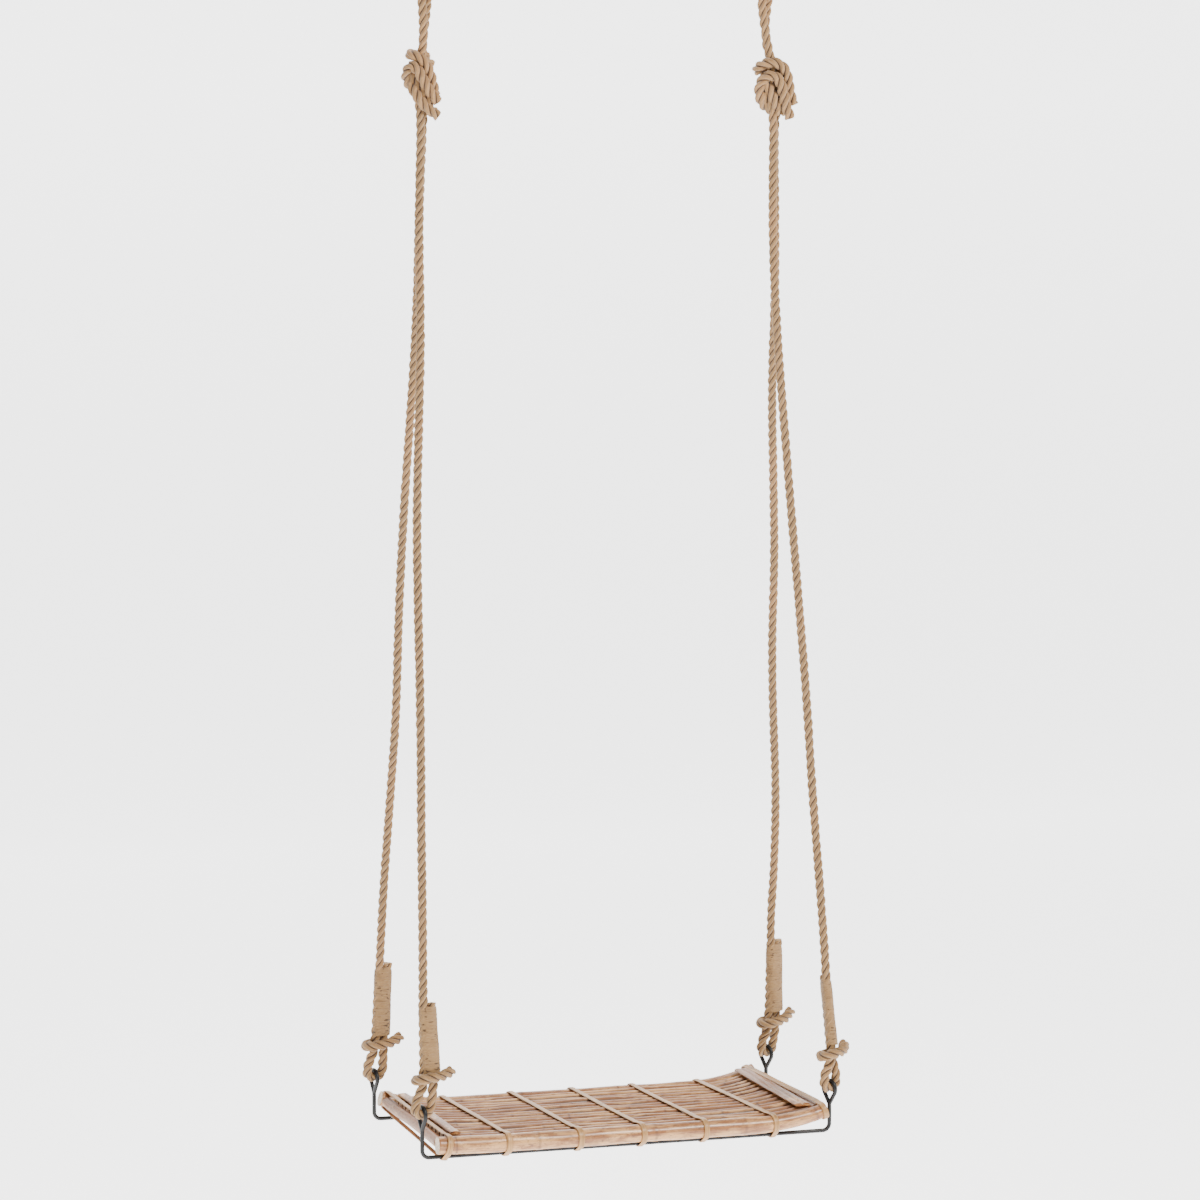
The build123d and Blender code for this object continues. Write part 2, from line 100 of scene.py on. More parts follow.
class IronSettings(bpy.types.PropertyGroup):
    """Finish of the iron parts."""

    black: colour_property("Black", "Colour of the painted iron", (0.003, 0.003, 0.004))
    rust: colour_property("Wear", "Colour where the paint has thinned", (0.014, 0.010, 0.008))


class StageSettings(bpy.types.PropertyGroup):
    """Backdrop, light and camera."""

    floor_drop: size_property("Floor", "Height of the seat's irons above the floor", 0.42)
    backdrop: colour_property("Backdrop", "Colour of the floor and the backdrop", (0.90, 0.90, 0.90))
    lens: size_property("Lens", "Focal length of the camera", 123.9, "CAMERA")
    camera_x: size_property("Camera X", "Camera's place to the right of the swing's middle", -2.1054)
    camera_y: size_property("Camera Y", "Camera's place behind the swing's middle", -6.6763)
    camera_z: size_property("Camera Z", "Camera's place above the ceiling plane", -0.528)
    turn: size_property("Turn", "Camera's turn about the upright", -0.3054, "ROTATION")
    pitch: size_property("Pitch", "Camera's tilt above level", -0.0878, "ROTATION")


SETTINGS = {"ropes": RopeSettings, "canes": CaneSettings, "irons": IronSettings, "stage": StageSettings}


def settings(group):
    """One group of the sizes and colours that belong to the scene."""
    return getattr(bpy.context.scene, "rope_swing_" + group)


# ---- places, as in the frame
RING_HALF = 0.302
EYE_HALF = 0.360
EYE_Y = 0.160
STEM_TOP = -2.004
STEM_HEIGHT = 0.046
EYE_HEIGHT = 0.040
BAR_Z = STEM_TOP - STEM_HEIGHT
BAR_RADIUS = 0.0035
RING_ROD_Z = -0.0647
RING_ARC = 0.0118  # rope's middle line round the ring's rod
KNOT_HALF = 0.311
KNOT_Z = RING_ROD_Z - 0.2113
KNOT_HEIGHT = 0.122
KNOT_SPREAD = 0.003  # how far off the knot's middle each leg enters it, along X
STRAND = 0.0076  # half the distance between two runs of rope side by side
TAIL = 0.006
COLLAR_HEIGHT = 0.049
PAIR_HEIGHT = 0.036
LOOP_HALF = 0.0142
LOOP_SIDE = 0.014
LOOP_DROP = 0.0125
LEG_START = 0.060
FULL_REACH = 0.42  # length of fuller rope at each cut end
FULL_FADE = 0.05
FINE_STEP = 0.0018  # between the rings of knots and collars
TWINE_SKIN = 0.0014  # thickness of the whipping on the ropes
TWINE_RIDGE = 0.00075  # how far a turn of twine stands out
TWINE_GIRTH = 0.012  # radius that stands for the whipping in its UV map
FACING = -0.3054  # turn of the top knots' shape about the upright
RIGHTWARD = np.array([math.cos(FACING), math.sin(FACING), 0.0])
# each whipped pair: its shift rightward at the collar and at the top, its first and its last height
PAIR_LIE = {
    "left_front": (0.0160, 0.0085, 0.055, 0.166),
    "left_back": (0.0095, 0.0068, 0.063, 0.184),
    "right_front": (0.0085, 0.0030, 0.062, 0.174),
    "right_back": (0.0150, 0.0125, 0.065, 0.188),
}

MILLIMETRES = 1000  # in one metre
# share of the way up from the whipping to the knot, then millimetres off the straight line in X and Y
LEG_BENDS = {
    "left_front": [(0.11, 0.5, 0.8), (0.21, -0.8, -0.6), (0.32, -0.6, -1.4), (0.43, -2.6, 0.5),
        (0.54, -5, 1.6), (0.65, -2.4, 0.4), (0.76, 0.6, -1.2), (0.88, -4, 0.6)],
    "left_back": [(0.1, 0.4, -1), (0.2, 5.2, 0.6), (0.31, 9.6, 1.8), (0.43, 5, 0.2), (0.55, 4.6, -1.5),
        (0.67, 7.6, -0.4), (0.78, 9.2, 1.4), (0.89, 3.4, 0.8)],
    "right_front": [(0.1, -1, -0.9), (0.21, -3.4, 0.8), (0.32, -2.6, 1.9), (0.43, -6, 0.4),
        (0.54, -10.4, -1.2), (0.65, -13.6, 0.2), (0.76, -16.6, 1.3), (0.88, -14.2, 0.5)],
    "right_back": [(0.09, 7, 0.9), (0.19, 11.4, -0.5), (0.29, 5.6, -1.6), (0.38, 4.6, -0.3),
        (0.48, 11.2, 1.4), (0.58, 6.8, 0.6), (0.69, 0.8, -1.1), (0.8, 5.6, -0.4), (0.9, 3.6, 0.7)],
}
# drop below the ring's rod, then off the fitting's middle along X and Y
BIGHT_BENDS = [(0.0153, 0.0122, 0.0005), (0.0620, 0.0078, 0.0052), (0.1100, 0.0030, 0.0075)]
# how far each bend, and the knot's top, lies off the even lean
BIGHT_SHIFT = {"left": (0.0, 0.001, 0.002, 0.002), "right": (-0.001, -0.013, -0.015, -0.011)}
# inside the top knot: height from its middle, then the half distance of the strands in X and Y
CORE_BENDS = [(-0.034, 0.0062, 0.0046), (0.0, 0.0076, 0.0012), (0.032, 0.0060, 0.0048)]
EYE_TURN = {"left": 10.0, "right": 25.0}
PAIR_TURN = {"left_front": 0.0, "left_back": 4.0, "right_front": 55.0, "right_back": -6.0}

# turns of rope round each top knot's core: millimetres right, towards the viewer and up from its middle
KNOT_TURNS = {
    "left": [
        [(12, -14, 44), (-6, -17, 47), (-19, -6, 49), (-18, 8, 49), (-6, 14, 45), (7, 13, 34), (14, 9, 18),
         (18, 6, 0), (23, 4, -18)],
        [(-4, -13, -18), (-19, -10, -5), (-25, 1, 7), (-25, 10, 21), (-16, 16, 31), (-6, 18, 24),
         (2, 18, 9), (10, 17, -6), (18, 14, -18), (28, 10, -29)],
        [(8, -14, 2), (-6, -16, 4), (-17, -8, 3), (-17, 6, -1), (-11, 14, -14), (-2, 16, -28), (8, 14, -39),
         (18, 11, -47), (27, 8, -53)],
        [(-13, -4, 34), (-17, 4, 18), (-9, 8, 0), (6, 8, -18), (17, 5, -33)],
        [(18, -4, -44), (9, -13, -35), (-5, -15, -26), (-13, -14, -8), (-4, -16, 12), (7, -13, 28),
         (13, -3, 38)],
    ],
    "right": [
        [(12, -13, 31), (-10, -17, 30), (-28, -7, 29), (-30, 6, 33), (-18, 15, 41), (-1, 18, 44),
         (14, 15, 37), (22, 10, 21), (25, 7, 3), (28, 6, -14), (33, 5, -28)],
        [(4, -12, -38), (-10, -6, -36), (-22, 6, -25), (-27, 12, -8), (-24, 15, 10), (-11, 19, 21),
         (4, 20, 19), (12, 19, 4), (16, 17, -14), (20, 14, -33), (27, 10, -51)],
        [(-20, -4, 17), (-15, 8, 11), (-8, 13, -2), (-2, 13, -17), (4, 10, -31), (8, 4, -44)],
        [(-12, -2, 24), (-18, 5, 8), (-17, 6, -12), (-8, 4, -29), (2, 0, -42)],
        [(20, -2, -40), (10, -13, -30), (-4, -16, -18), (-11, -15, -2), (-2, -17, 14), (9, -13, 26),
         (14, -2, 34)],
    ],
}
# one turn of rope round each pair under its whipping: millimetres right, towards the viewer and up
COLLAR_TURN = [(14, -14, -4), (-4, -17, -6), (-22, -12, -5), (-27.5, 1, -4), (-19, 14, -1), (-2, 17, 1),
               (14, 14, 3), (26, 8, 6), (35, 4, 9)]


def unit(vectors):
    """Each vector at length one."""
    return vectors / np.linalg.norm(vectors, axis=-1, keepdims=True)


def knot_strand(sign, end_sign):
    """Where a leg enters the bottom of its top knot."""
    return np.array([sign * KNOT_HALF + KNOT_SPREAD * end_sign, end_sign * STRAND, KNOT_Z - KNOT_HEIGHT / 2])


def lower_axes(side, end, turn=0.0):
    """Place and axes of a lower rope end: the eye's rod, then across, deep and up along the pull.
    turn swings the first two about the pull, in degrees."""
    rod = np.array([SIDES[side] * EYE_HALF, ENDS[end] * EYE_Y, STEM_TOP + EYE_HEIGHT])
    up = unit(knot_strand(SIDES[side], ENDS[end]) - rod)
    eye = math.radians(EYE_TURN[side])
    across = np.array([math.cos(eye), math.sin(eye), 0.0])
    across = unit(across - up * across.dot(up))
    deep = np.cross(up, across)
    angle = math.radians(turn)
    across, deep = (across * math.cos(angle) + deep * math.sin(angle),
                    deep * math.cos(angle) - across * math.sin(angle))
    return rod, np.array([across, deep, up])


def lower_points(side, end, turn, local):
    """Points given across, deep and up from an eye's rod, in the swing's own frame."""
    rod, axes = lower_axes(side, end, turn)
    local = np.asarray(local, float)
    at_collar, at_top, _, top = PAIR_LIE[f"{side}_{end}"]
    shift = np.interp(local[..., 2], (0.004, COLLAR_HEIGHT, top), (0.0, at_collar, at_top))
    return rod + local @ axes + shift[..., None] * RIGHTWARD


def leg_and_loop(side, end):
    """Route of one lower end: the leg from its foot to the knot, and the loop from foot to cut end."""
    corner = f"{side}_{end}"
    _, shift, _, top = PAIR_LIE[corner]
    turn = PAIR_TURN[corner]
    pair = lower_points(side, end, turn, [
        (-STRAND, 0, top), (-STRAND, 0, PAIR_HEIGHT), (STRAND, 0, PAIR_HEIGHT), (STRAND, 0, top + TAIL)])
    ring = lower_points(side, end, 0.0, [
        (-LOOP_HALF, 0, LOOP_SIDE), (-LOOP_HALF, 0, -LOOP_DROP),
        (LOOP_HALF, 0, -LOOP_DROP), (LOOP_HALF, 0, LOOP_SIDE)])
    up = lower_axes(side, end)[1][2]
    head = knot_strand(SIDES[side], ENDS[end])
    bends = np.array(LEG_BENDS[corner]) / (1, MILLIMETRES, MILLIMETRES)
    foot = pair[0] - shift * RIGHTWARD
    way = foot + (head - foot) * bends[:, :1]
    way[:, :2] += bends[:, 1:]
    way += shift * np.clip(1.0 - bends[:, :1] / 0.5, 0.0, 1.0) * RIGHTWARD
    leg = np.vstack([pair[0], pair[0] + up * LEG_START, way, head])
    loop = np.vstack([pair[0], pair[1], ring, pair[2], pair[3]])
    return leg, loop


def rope_route(side):
    """Route of one whole rope, from the front cut end over the ring to the back cut end."""
    sign = SIDES[side]
    fitting, knot = sign * RING_HALF, sign * KNOT_HALF
    knot_top = KNOT_Z + KNOT_HEIGHT / 2
    front_leg, front_loop = leg_and_loop(side, "front")
    back_leg, back_loop = leg_and_loop(side, "back")
    bends = np.array(BIGHT_BENDS)
    lean = (knot - fitting) / (RING_ROD_Z - knot_top)
    height = RING_ROD_Z - bends[:, 0]
    off = np.array(BIGHT_SHIFT[side])
    middle = fitting + lean * bends[:, 0] + off[:3]
    up_front = np.column_stack([middle - bends[:, 1], -bends[:, 2], height])[::-1]
    down_back = np.column_stack([middle + bends[:, 1], bends[:, 2], height])
    over = [(fitting - RING_ARC, 0, RING_ROD_Z + RING_ARC), (fitting + RING_ARC, 0, RING_ROD_Z + RING_ARC)]
    core = np.array(CORE_BENDS)
    core_front = np.column_stack([knot - core[:, 1], -core[:, 2], KNOT_Z + core[:, 0]])
    core_back = np.column_stack([knot + core[:, 1], core[:, 2], KNOT_Z + core[:, 0]])[::-1]
    entry_front = (knot - 0.001 + off[3], -STRAND, knot_top)
    entry_back = (knot + 0.001 + off[3], STRAND, knot_top)
    return np.vstack([front_loop[:0:-1], front_leg, core_front, entry_front, up_front, over,
                      down_back, entry_back, core_back, back_leg[::-1], back_loop[1:]])


# ---- lines and frames
def smooth_line(name, points):
    """The smooth line of a rope: an order 3 NURBS spline whose control points are the route."""
    curve = bpy.data.curves.new(name, "CURVE")
    curve.dimensions = "3D"
    spline = curve.splines.new("NURBS")
    spline.points.add(len(points) - 1)
    spline.points.foreach_set("co", np.column_stack([points, np.ones(len(points))]).ravel())
    spline.order_u = 3
    spline.use_endpoint_u = True
    spline.resolution_u = 14
    holder = bpy.data.objects.new(name, curve)
    traced = bpy.data.meshes.new_from_object(holder)
    line = np.empty(len(traced.vertices) * 3)
    traced.vertices.foreach_get("co", line)
    bpy.data.objects.remove(holder)
    bpy.data.curves.remove(curve)
    bpy.data.meshes.remove(traced)
    return line.reshape(-1, 3)


def distances(line):
    """How far along a line each of its points lies."""
    return np.concatenate([[0.0], np.cumsum(np.linalg.norm(np.diff(line, axis=0), axis=1))])


def points_at(line, at, closest=1e-9):
    """Points at given distances along a line. Points of it closer together than closest are skipped."""
    run = distances(line)
    keep = np.concatenate([[True], np.diff(run) > closest])
    return np.column_stack([np.interp(at, run[keep], column[keep]) for column in line.T])


def evenly(line, step):
    """The same line with its points one step apart along it, and the distance of each."""
    length = distances(line)[-1]
    at = np.linspace(0.0, length, max(3, int(round(length / step)) + 1))
    return points_at(line, at), at


def carried_frames(line, reference):
    """Two directions square to a line, carried along it without twist. They start from the cross
    product with a reference, whose own turning about the line is summed up and taken out."""
    tangent = unit(np.gradient(line, axis=0))
    side = unit(np.cross(np.asarray(reference, float), tangent))
    up = np.cross(tangent, side)
    turned = -np.cumsum((np.gradient(side, axis=0) * up).sum(axis=1))[:, None]
    return side * np.cos(turned) + up * np.sin(turned), up * np.cos(turned) - side * np.sin(turned), tangent


def ripple(at, seed, wave, size):
    """A slow uneven wave: five sines of random phase with waves near the given length."""
    dice = np.random.default_rng(seed)
    waves = wave * dice.uniform(0.45, 1.9, 5)
    phase = dice.uniform(0.0, 2 * np.pi, 5)
    return size * 0.45 * np.sin(2 * np.pi * at[..., None] / waves + phase).sum(axis=-1)


# ---- meshes
def surface(name, rings, along, around, looped=False, fields=None):
    """A mesh over a grid: point j of ring i is rings[i, j], and each ring closes on itself. A line
    of rings gets a point in the middle of each end, and a looped one joins its ends. along and
    around are the grid's UV in metres, with one more value where the grid closes."""
    rows, columns = rings.shape[:2]
    i, j = np.meshgrid(np.arange(rows if looped else rows - 1), np.arange(columns), indexing="ij")
    i, j = i.ravel(), j.ravel()
    near, far = (i % rows) * columns, ((i + 1) % rows) * columns
    right = (j + 1) % columns
    quads = np.column_stack([near + j, near + right, far + right, far + j])
    corners = ((0, 0), (0, 1), (1, 1), (1, 0))
    quad_uv = np.stack([np.column_stack([along[i + a], around[j + b]]) for a, b in corners], axis=1)
    points, faces, uv = rings.reshape(-1, 3), quads.tolist(), [quad_uv.reshape(-1, 2)]
    if not looped:
        spoke = np.arange(columns)
        after = (spoke + 1) % columns
        first, last = rows * columns, rows * columns + 1
        points = np.vstack([points, rings[0].mean(axis=0), rings[-1].mean(axis=0)])
        faces += np.column_stack([np.full(columns, first), after, spoke]).tolist()
        tail = (rows - 1) * columns
        faces += np.column_stack([np.full(columns, last), tail + spoke, tail + after]).tolist()
        for place in (along[0], along[-1]):
            uv.append(np.column_stack([np.full(columns * 3, place), np.repeat(around[:-1], 3)]))
    mesh = bpy.data.meshes.new(name)
    mesh.from_pydata(points.tolist(), [], faces)
    mesh.polygons.foreach_set("use_smooth", np.ones(len(mesh.polygons), bool))
    mesh.uv_layers.new(name="UVMap").data.foreach_set("uv", np.vstack(uv).astype(np.float32).ravel())
    for field, values in (fields or {}).items():
        values = np.broadcast_to(values, (rows, columns)).ravel()
        if not looped:
            values = np.append(values, [values[:columns].mean(), values[-columns:].mean()])
        layer = mesh.attributes.new(field, "FLOAT", "POINT")
        layer.data.foreach_set("value", values.astype(np.float32))
    mesh.update()
    piece = bpy.data.objects.new(name, mesh)
    bpy.context.scene.collection.objects.link(piece)
    return piece


def with_cut_ends(rings, at, shrink, bulge):
    """The rings with each end closed: three more rings that shrink towards the middle of the cut,
    standing out by the bulge. Also the distance of each ring, and 1 where it belongs to a cut."""
    scale = np.array(shrink)[:, None, None]
    caps = []
    for rim, inner in ((rings[0], rings[2]), (rings[-1], rings[-3])):
        middle = rim.mean(axis=0)
        outward = unit(middle - inner.mean(axis=0))
        caps.append(middle + (rim - middle) * scale + outward * (bulge * (1.0 - scale ** 2)))
    cut = np.pad(np.zeros(len(at)), len(shrink), constant_values=1.0)
    return np.vstack([caps[0][::-1], rings, caps[1]]), np.pad(at, len(shrink), mode="edge"), cut


def rings_round(line, side, up, angle, reach):
    """A ring round each point of a line: off it by the reach, at an angle from side towards up."""
    return line[:, None] + reach[..., None] * (np.cos(angle)[..., None] * side[:, None]
                                               + np.sin(angle)[..., None] * up[:, None])


def fuller(wave, power):
    """A sine wave made fuller or squarer: its size to a power, with its own sign."""
    return np.sign(wave) * np.abs(wave) ** power


def turn_angles(count, first=0.0):
    """Even angles once round, the first a share of a step from nought."""
    return (np.arange(count) + first) * 2 * np.pi / count


def rope_piece(name, route, seed, reference, step=0.0025, full=1.06, loops=0.0):
    """Three-strand rope along a route. The section is the outline of three round strands, whose
    radius at an angle from a strand's middle is a cos + sqrt(b^2 - a^2 sin^2), with a the strands'
    distance from the middle and b their own radius; it turns once in each lay."""
    ropes = settings("ropes")
    line, at = evenly(smooth_line(name, route), step)
    radius = ropes.radius * full
    side, up, _ = carried_frames(line, reference)
    around = 36
    a, b = 0.49 * radius, 0.51 * radius
    theta = turn_angles(around)
    off_strand = (theta + np.pi / 3) % (2 * np.pi / 3) - np.pi / 3
    outline = a * np.cos(off_strand) + np.sqrt(b ** 2 - (a * np.sin(off_strand)) ** 2)
    depth = (outline - outline.min()) / (outline.max() - outline.min())
    ends = np.minimum(at, at[-1] - at)
    near_end = np.clip((FULL_REACH - ends) / FULL_FADE, 0.0, 1.0)[:, None]
    slack = 1.0 + ripple(at, seed, 0.09, 0.014)[:, None] + loops * near_end
    strand = np.floor((theta + np.pi / 3) / (2 * np.pi / 3)).astype(int) % 3
    fullness = np.stack([ripple(at, seed + 7 * k + 1, 0.035, 0.03) for k in range(3)], axis=1)
    reach = outline * (slack + fullness[:, strand] * depth)
    spin = 2 * np.pi * at / ropes.lay + ripple(at, seed + 31, 0.4, 0.35)
    rings = rings_round(line, side, up, spin[:, None] + theta, reach)
    rings, at, mark = with_cut_ends(rings, at, (0.93, 0.6, 0.25), 0.0012)
    # The field groove is 1 on the strands' crowns and 0 deep between them. The finish paints shade by it.
    piece = surface(name, rings, at + 0.37 * seed, np.arange(around + 1) * 2 * np.pi * radius / around,
                    fields={"groove": depth, "cut": mark[:, None]})
    return piece, line


# ---- finishes
class Number:
    """A socket that gives a value. Arithmetic on it adds Math nodes."""

    def __init__(self, finish, socket):
        self.finish, self.socket = finish, socket

    def math(self, operation, *values):
        """One Math node on the given values, this socket among them."""
        return self.finish.node("ShaderNodeMath", {"operation": operation}, dict(enumerate(values)))

    def __add__(self, other):
        return self.math("ADD", self, other)

    def __sub__(self, other):
        return self.math("SUBTRACT", self, other)

    def __rsub__(self, other):
        return self.math("SUBTRACT", other, self)

    def __mul__(self, other):
        return self.math("MULTIPLY", self, other)

    __radd__ = __add__
    __rmul__ = __mul__

    def between(self, low, high):
        """0 at low and below, 1 at high and above, and a smooth step between them."""
        return self.finish.node("ShaderNodeMapRange", {"interpolation_type": "SMOOTHSTEP"},
                                {"Value": self, "From Min": low, "From Max": high})


class Finish:
    """A material built from nodes round one Principled shader."""

    def __init__(self, name, **surface_values):
        self.material = bpy.data.materials.new(name)
        self.material.use_nodes = True
        self.tree = self.material.node_tree
        self.tree.nodes.clear()
        shader = {key.replace("_", " ").title().replace("Ior", "IOR"): value
                  for key, value in surface_values.items()}
        self.shader = self.node("ShaderNodeBsdfPrincipled", {}, shader).socket.node
        self.node("ShaderNodeOutputMaterial", {}, {"Surface": Number(self, self.shader.outputs[0])})

    def node(self, kind, node_settings=None, sockets=None, output=0):
        """Any node: its settings are set first, then the values or links of its sockets."""
        node = self.tree.nodes.new(kind)
        for key, value in (node_settings or {}).items():
            setattr(node, key, value)
        for key, value in (sockets or {}).items():
            if isinstance(value, Number):
                self.tree.links.new(value.socket, node.inputs[key])
            else:
                node.inputs[key].default_value = value
        return Number(self, node.outputs[output]) if node.outputs else None

    def field(self, name):
        """A value stored on the mesh's points."""
        return self.node("ShaderNodeAttribute", {"attribute_name": name}, output=2)

    def along_around(self, along, around):
        """The UV map in metres, stretched so that one unit is the given length each way."""
        uv = self.node("ShaderNodeUVMap", {"uv_map": "UVMap"})
        return self.node("ShaderNodeVectorMath", {"operation": "MULTIPLY"},
                         {0: uv, 1: (1.0 / along, 1.0 / around, 1.0)})

    def place(self, size):
        """Object coordinates, with one unit the given size."""
        spot = self.node("ShaderNodeTexCoord", output=3)
        return self.node("ShaderNodeVectorMath", {"operation": "SCALE"}, {0: spot, "Scale": 1.0 / size})

    def noise(self, where, detail=3.0, roughness=0.55, twist=0.0):
        """Fractal noise with features of about one unit."""
        return self.node("ShaderNodeTexNoise", {"noise_dimensions": "3D"},
                         {"Vector": where, "Scale": 1.0, "Detail": detail, "Roughness": roughness,
                          "Distortion": twist})

    def mixed(self, first, second, amount):
        """One colour turned into another by an amount."""
        return self.node("ShaderNodeMix", {"data_type": "RGBA"},
                         {0: amount, 6: first, 7: second}, output=2)

    def wear(self, colour, height, distance, strength=1.0, roughness=None):
        """Links the colour, the height as a bump, and the roughness."""
        self.tree.links.new(colour.socket, self.shader.inputs["Base Color"])
        bump = self.node("ShaderNodeBump", {}, {"Strength": strength, "Distance": distance, "Height": height})
        self.tree.links.new(bump.socket, self.shader.inputs["Normal"])
        if roughness is not None:
            self.tree.links.new(roughness.socket, self.shader.inputs["Roughness"])
        return self.material


@cache
def jute_rope():
    """Three-strand jute: fine yarns laid along each strand, pale and dark fibres, and painted shade in the
    grooves.
    """
    ropes = settings("ropes")
    f = Finish("jute_rope", roughness=0.88, specular_ior_level=0.25, sheen_weight=0.25, sheen_roughness=0.6)
    fibres = f.noise(f.along_around(0.011, 0.0007), 4.0, 0.65)
    tufts = f.noise(f.along_around(0.03, 0.009), 2.0)
    weather = f.noise(f.place(0.16), 2.0)
    depth = f.field("groove")
    colour = f.mixed(ropes.jute, ropes.jute_pale, fibres.between(0.42, 0.72))
    colour = f.mixed(colour, ropes.jute_pale, tufts.between(0.5, 0.8) * 0.45)
    colour = f.mixed(colour, (0.42, 0.215, 0.085, 1), weather.between(0.45, 0.7) * 0.4)
    colour = f.mixed(colour, ropes.jute_dark_and_shade, (1 - fibres).between(0.55, 0.75) * 0.4)
    # Painted shade: the grooves between the strands are darkened, as shade falls there.
    colour = f.mixed(ropes.jute_dark_and_shade, colour, depth.between(0.0, 0.62))
    colour = f.mixed(colour, ropes.jute_pale, f.field("cut") * 0.6)
    yarns = f.noise(f.along_around(0.05, 0.0016), 1.0, 0.4)
    return f.wear(colour, yarns * 0.6 + fibres * 0.5, 0.0009)


@cache
def jute_twine():
    """Thin jute twine: pale turns, with dark lines between them as painted shade, painted shade in the
    grooves between the turns, and loose fibres.
    """
    ropes = settings("ropes")
    f = Finish("jute_twine", roughness=0.9, specular_ior_level=0.2, sheen_weight=0.25, sheen_roughness=0.6)
    fibres = f.noise(f.along_around(0.0006, 0.005), 4.0, 0.65)
    patches = f.noise(f.place(0.02), 2.0)
    depth = f.field("groove")
    colour = f.mixed(ropes.whipping, ropes.jute_pale, fibres.between(0.4, 0.75) * 0.8)
    colour = f.mixed(colour, ropes.jute, patches.between(0.45, 0.7) * 0.5)
    lines = f.noise(f.along_around(0.0032, 0.03), 2.0, 0.7)
    slits = f.noise(f.along_around(0.0042, 0.011), 1.0, 0.5)
    # Painted shade: dark lines and a few dark slits between the turns.
    colour = f.mixed(colour, ropes.jute_dark_and_shade, lines.between(0.52, 0.74) * 0.55)
    colour = f.mixed(colour, ropes.jute_dark_and_shade, slits.between(0.62, 0.69) * 0.85)
    # Painted shade in the grooves between the turns.
    colour = f.mixed(ropes.jute_dark_and_shade, colour, depth.between(-0.35, 0.5))
    return f.wear(colour, lines * 1.2 - fibres * 0.5, 0.0011)


# how much pale and how much brown each cane's skin shows, and its gloss
CANE_SKINS = {
    "slat_cane": (0.02, 0.06, 0.15),
    "rail_cane": (0.05, 0.12, 0.45),
    "end_cane_skin": (-0.04, 0.15, 0.25),
}


@cache
def cane_skin(name):
    """Cane skin: long streaks, blotches, specks, a brown ring at each joint, and painted shade down the
    sides.
    """
    pale_share, brown_share, gloss = CANE_SKINS[name]
    canes = settings("canes")
    f = Finish(name, roughness=0.5, coat_roughness=0.25, coat_weight=gloss)
    streaks = f.noise(f.along_around(0.09, 0.0016), 4.0, 0.6)
    blotches = f.noise(f.along_around(0.05, 0.012), 3.0, 0.6, 0.6)
    mottle = f.noise(f.along_around(0.012, 0.005), 4.0, 0.7, 1.2)
    whole = f.noise(f.along_around(0.22, 0.03), 1.0)
    specks = f.noise(f.along_around(0.0045, 0.0022), 1.0, 0.4)
    share = (blotches * 0.65 + whole * 0.45).between(0.52 - pale_share, 0.66)
    colour = f.mixed(canes.warm, canes.pale, share)
    colour = f.mixed(colour, canes.brown, mottle.between(0.60 - brown_share, 0.72) * 0.7)
    colour = f.mixed(colour, canes.brown, (1 - streaks).between(0.48, 0.70) * 0.6)
    colour = f.mixed(colour, (0.16, 0.07, 0.035, 1), specks.between(0.66, 0.74) * 0.85)
    colour = f.mixed(colour, canes.brown, f.field("joint") * 0.75)
    # Painted shade: darker down the sides of the canes, where shade falls between the slats.
    colour = f.mixed(colour, (0.055, 0.024, 0.012, 1), f.field("low") * (0.62 + mottle * 0.5))
    pith = f.mixed((0.66, 0.50, 0.33, 1), (0.30, 0.17, 0.09, 1), mottle.between(0.4, 0.65))
    colour = f.mixed(colour, pith, f.field("cut"))
    rough = 0.36 + mottle * 0.3 + f.field("cut") * 0.3
    return f.wear(colour, streaks * 0.7 + mottle * 0.3, 0.0005, 0.8, rough)


@cache
def peeled_strip():
    """Peeled cane strips of the ties and battens: smooth, with fine lines along them."""
    canes = settings("canes")
    f = Finish("peeled_strip", coat_weight=0.15, coat_roughness=0.3)
    lines = f.noise(f.along_around(0.12, 0.0009), 3.0, 0.6)
    stains = f.noise(f.along_around(0.03, 0.02), 3.0)
    colour = f.mixed(canes.strip, canes.pale, lines.between(0.4, 0.7) * 0.7)
    colour = f.mixed(colour, canes.brown, stains.between(0.56, 0.78) * 0.5)
    return f.wear(colour, lines, 0.0003, 0.7, 0.42 + stains * 0.2)


@cache
def black_iron():
    """Black painted round iron, slightly uneven, with the paint thinned in places."""
    irons = settings("irons")
    f = Finish("black_iron", specular_ior_level=0.4)
    dents = f.noise(f.place(0.006), 3.0, 0.5)
    wear = f.noise(f.place(0.022), 4.0, 0.7)
    colour = f.mixed(irons.black, irons.rust, wear.between(0.52, 0.72))
    return f.wear(colour, dents, 0.0006, 0.6, 0.30 + wear * 0.28)


@cache
def pale_stage():
    """Matt backdrop paper."""
    stage = settings("stage")
    f = Finish("pale_stage", roughness=0.95, specular_ior_level=0.1, emission_color=(1.0, 1.0, 1.0, 1.0),
               emission_strength=2.6)
    grain = f.noise(f.place(0.4), 2.0)
    colour = f.mixed(stage.backdrop, tuple(0.985 * c for c in stage.backdrop[:3]) + (1.0,), grain)
    return f.wear(colour, grain, 0.0002, 0.2)


def dress(piece, material, slot, body, *nodes):
    """Gives a new piece its material, its body and the frame pieces that it stands for. The slot is not used.
    """
    piece.data.materials.append(material)
    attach(piece, body)
    if nodes:
        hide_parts(*nodes)
    return piece


# ---- ropes
def knot_points(side, turns):
    """Turns given right, towards the viewer and up from a top knot's middle, in the swing's frame."""
    facing = np.array([math.sin(FACING), -math.cos(FACING), 0.0])
    middle = np.array([SIDES[side] * KNOT_HALF, 0.0, KNOT_Z])
    return middle + (np.array(turns) / MILLIMETRES) @ np.array([RIGHTWARD, facing, [0.0, 0.0, 1.0]])


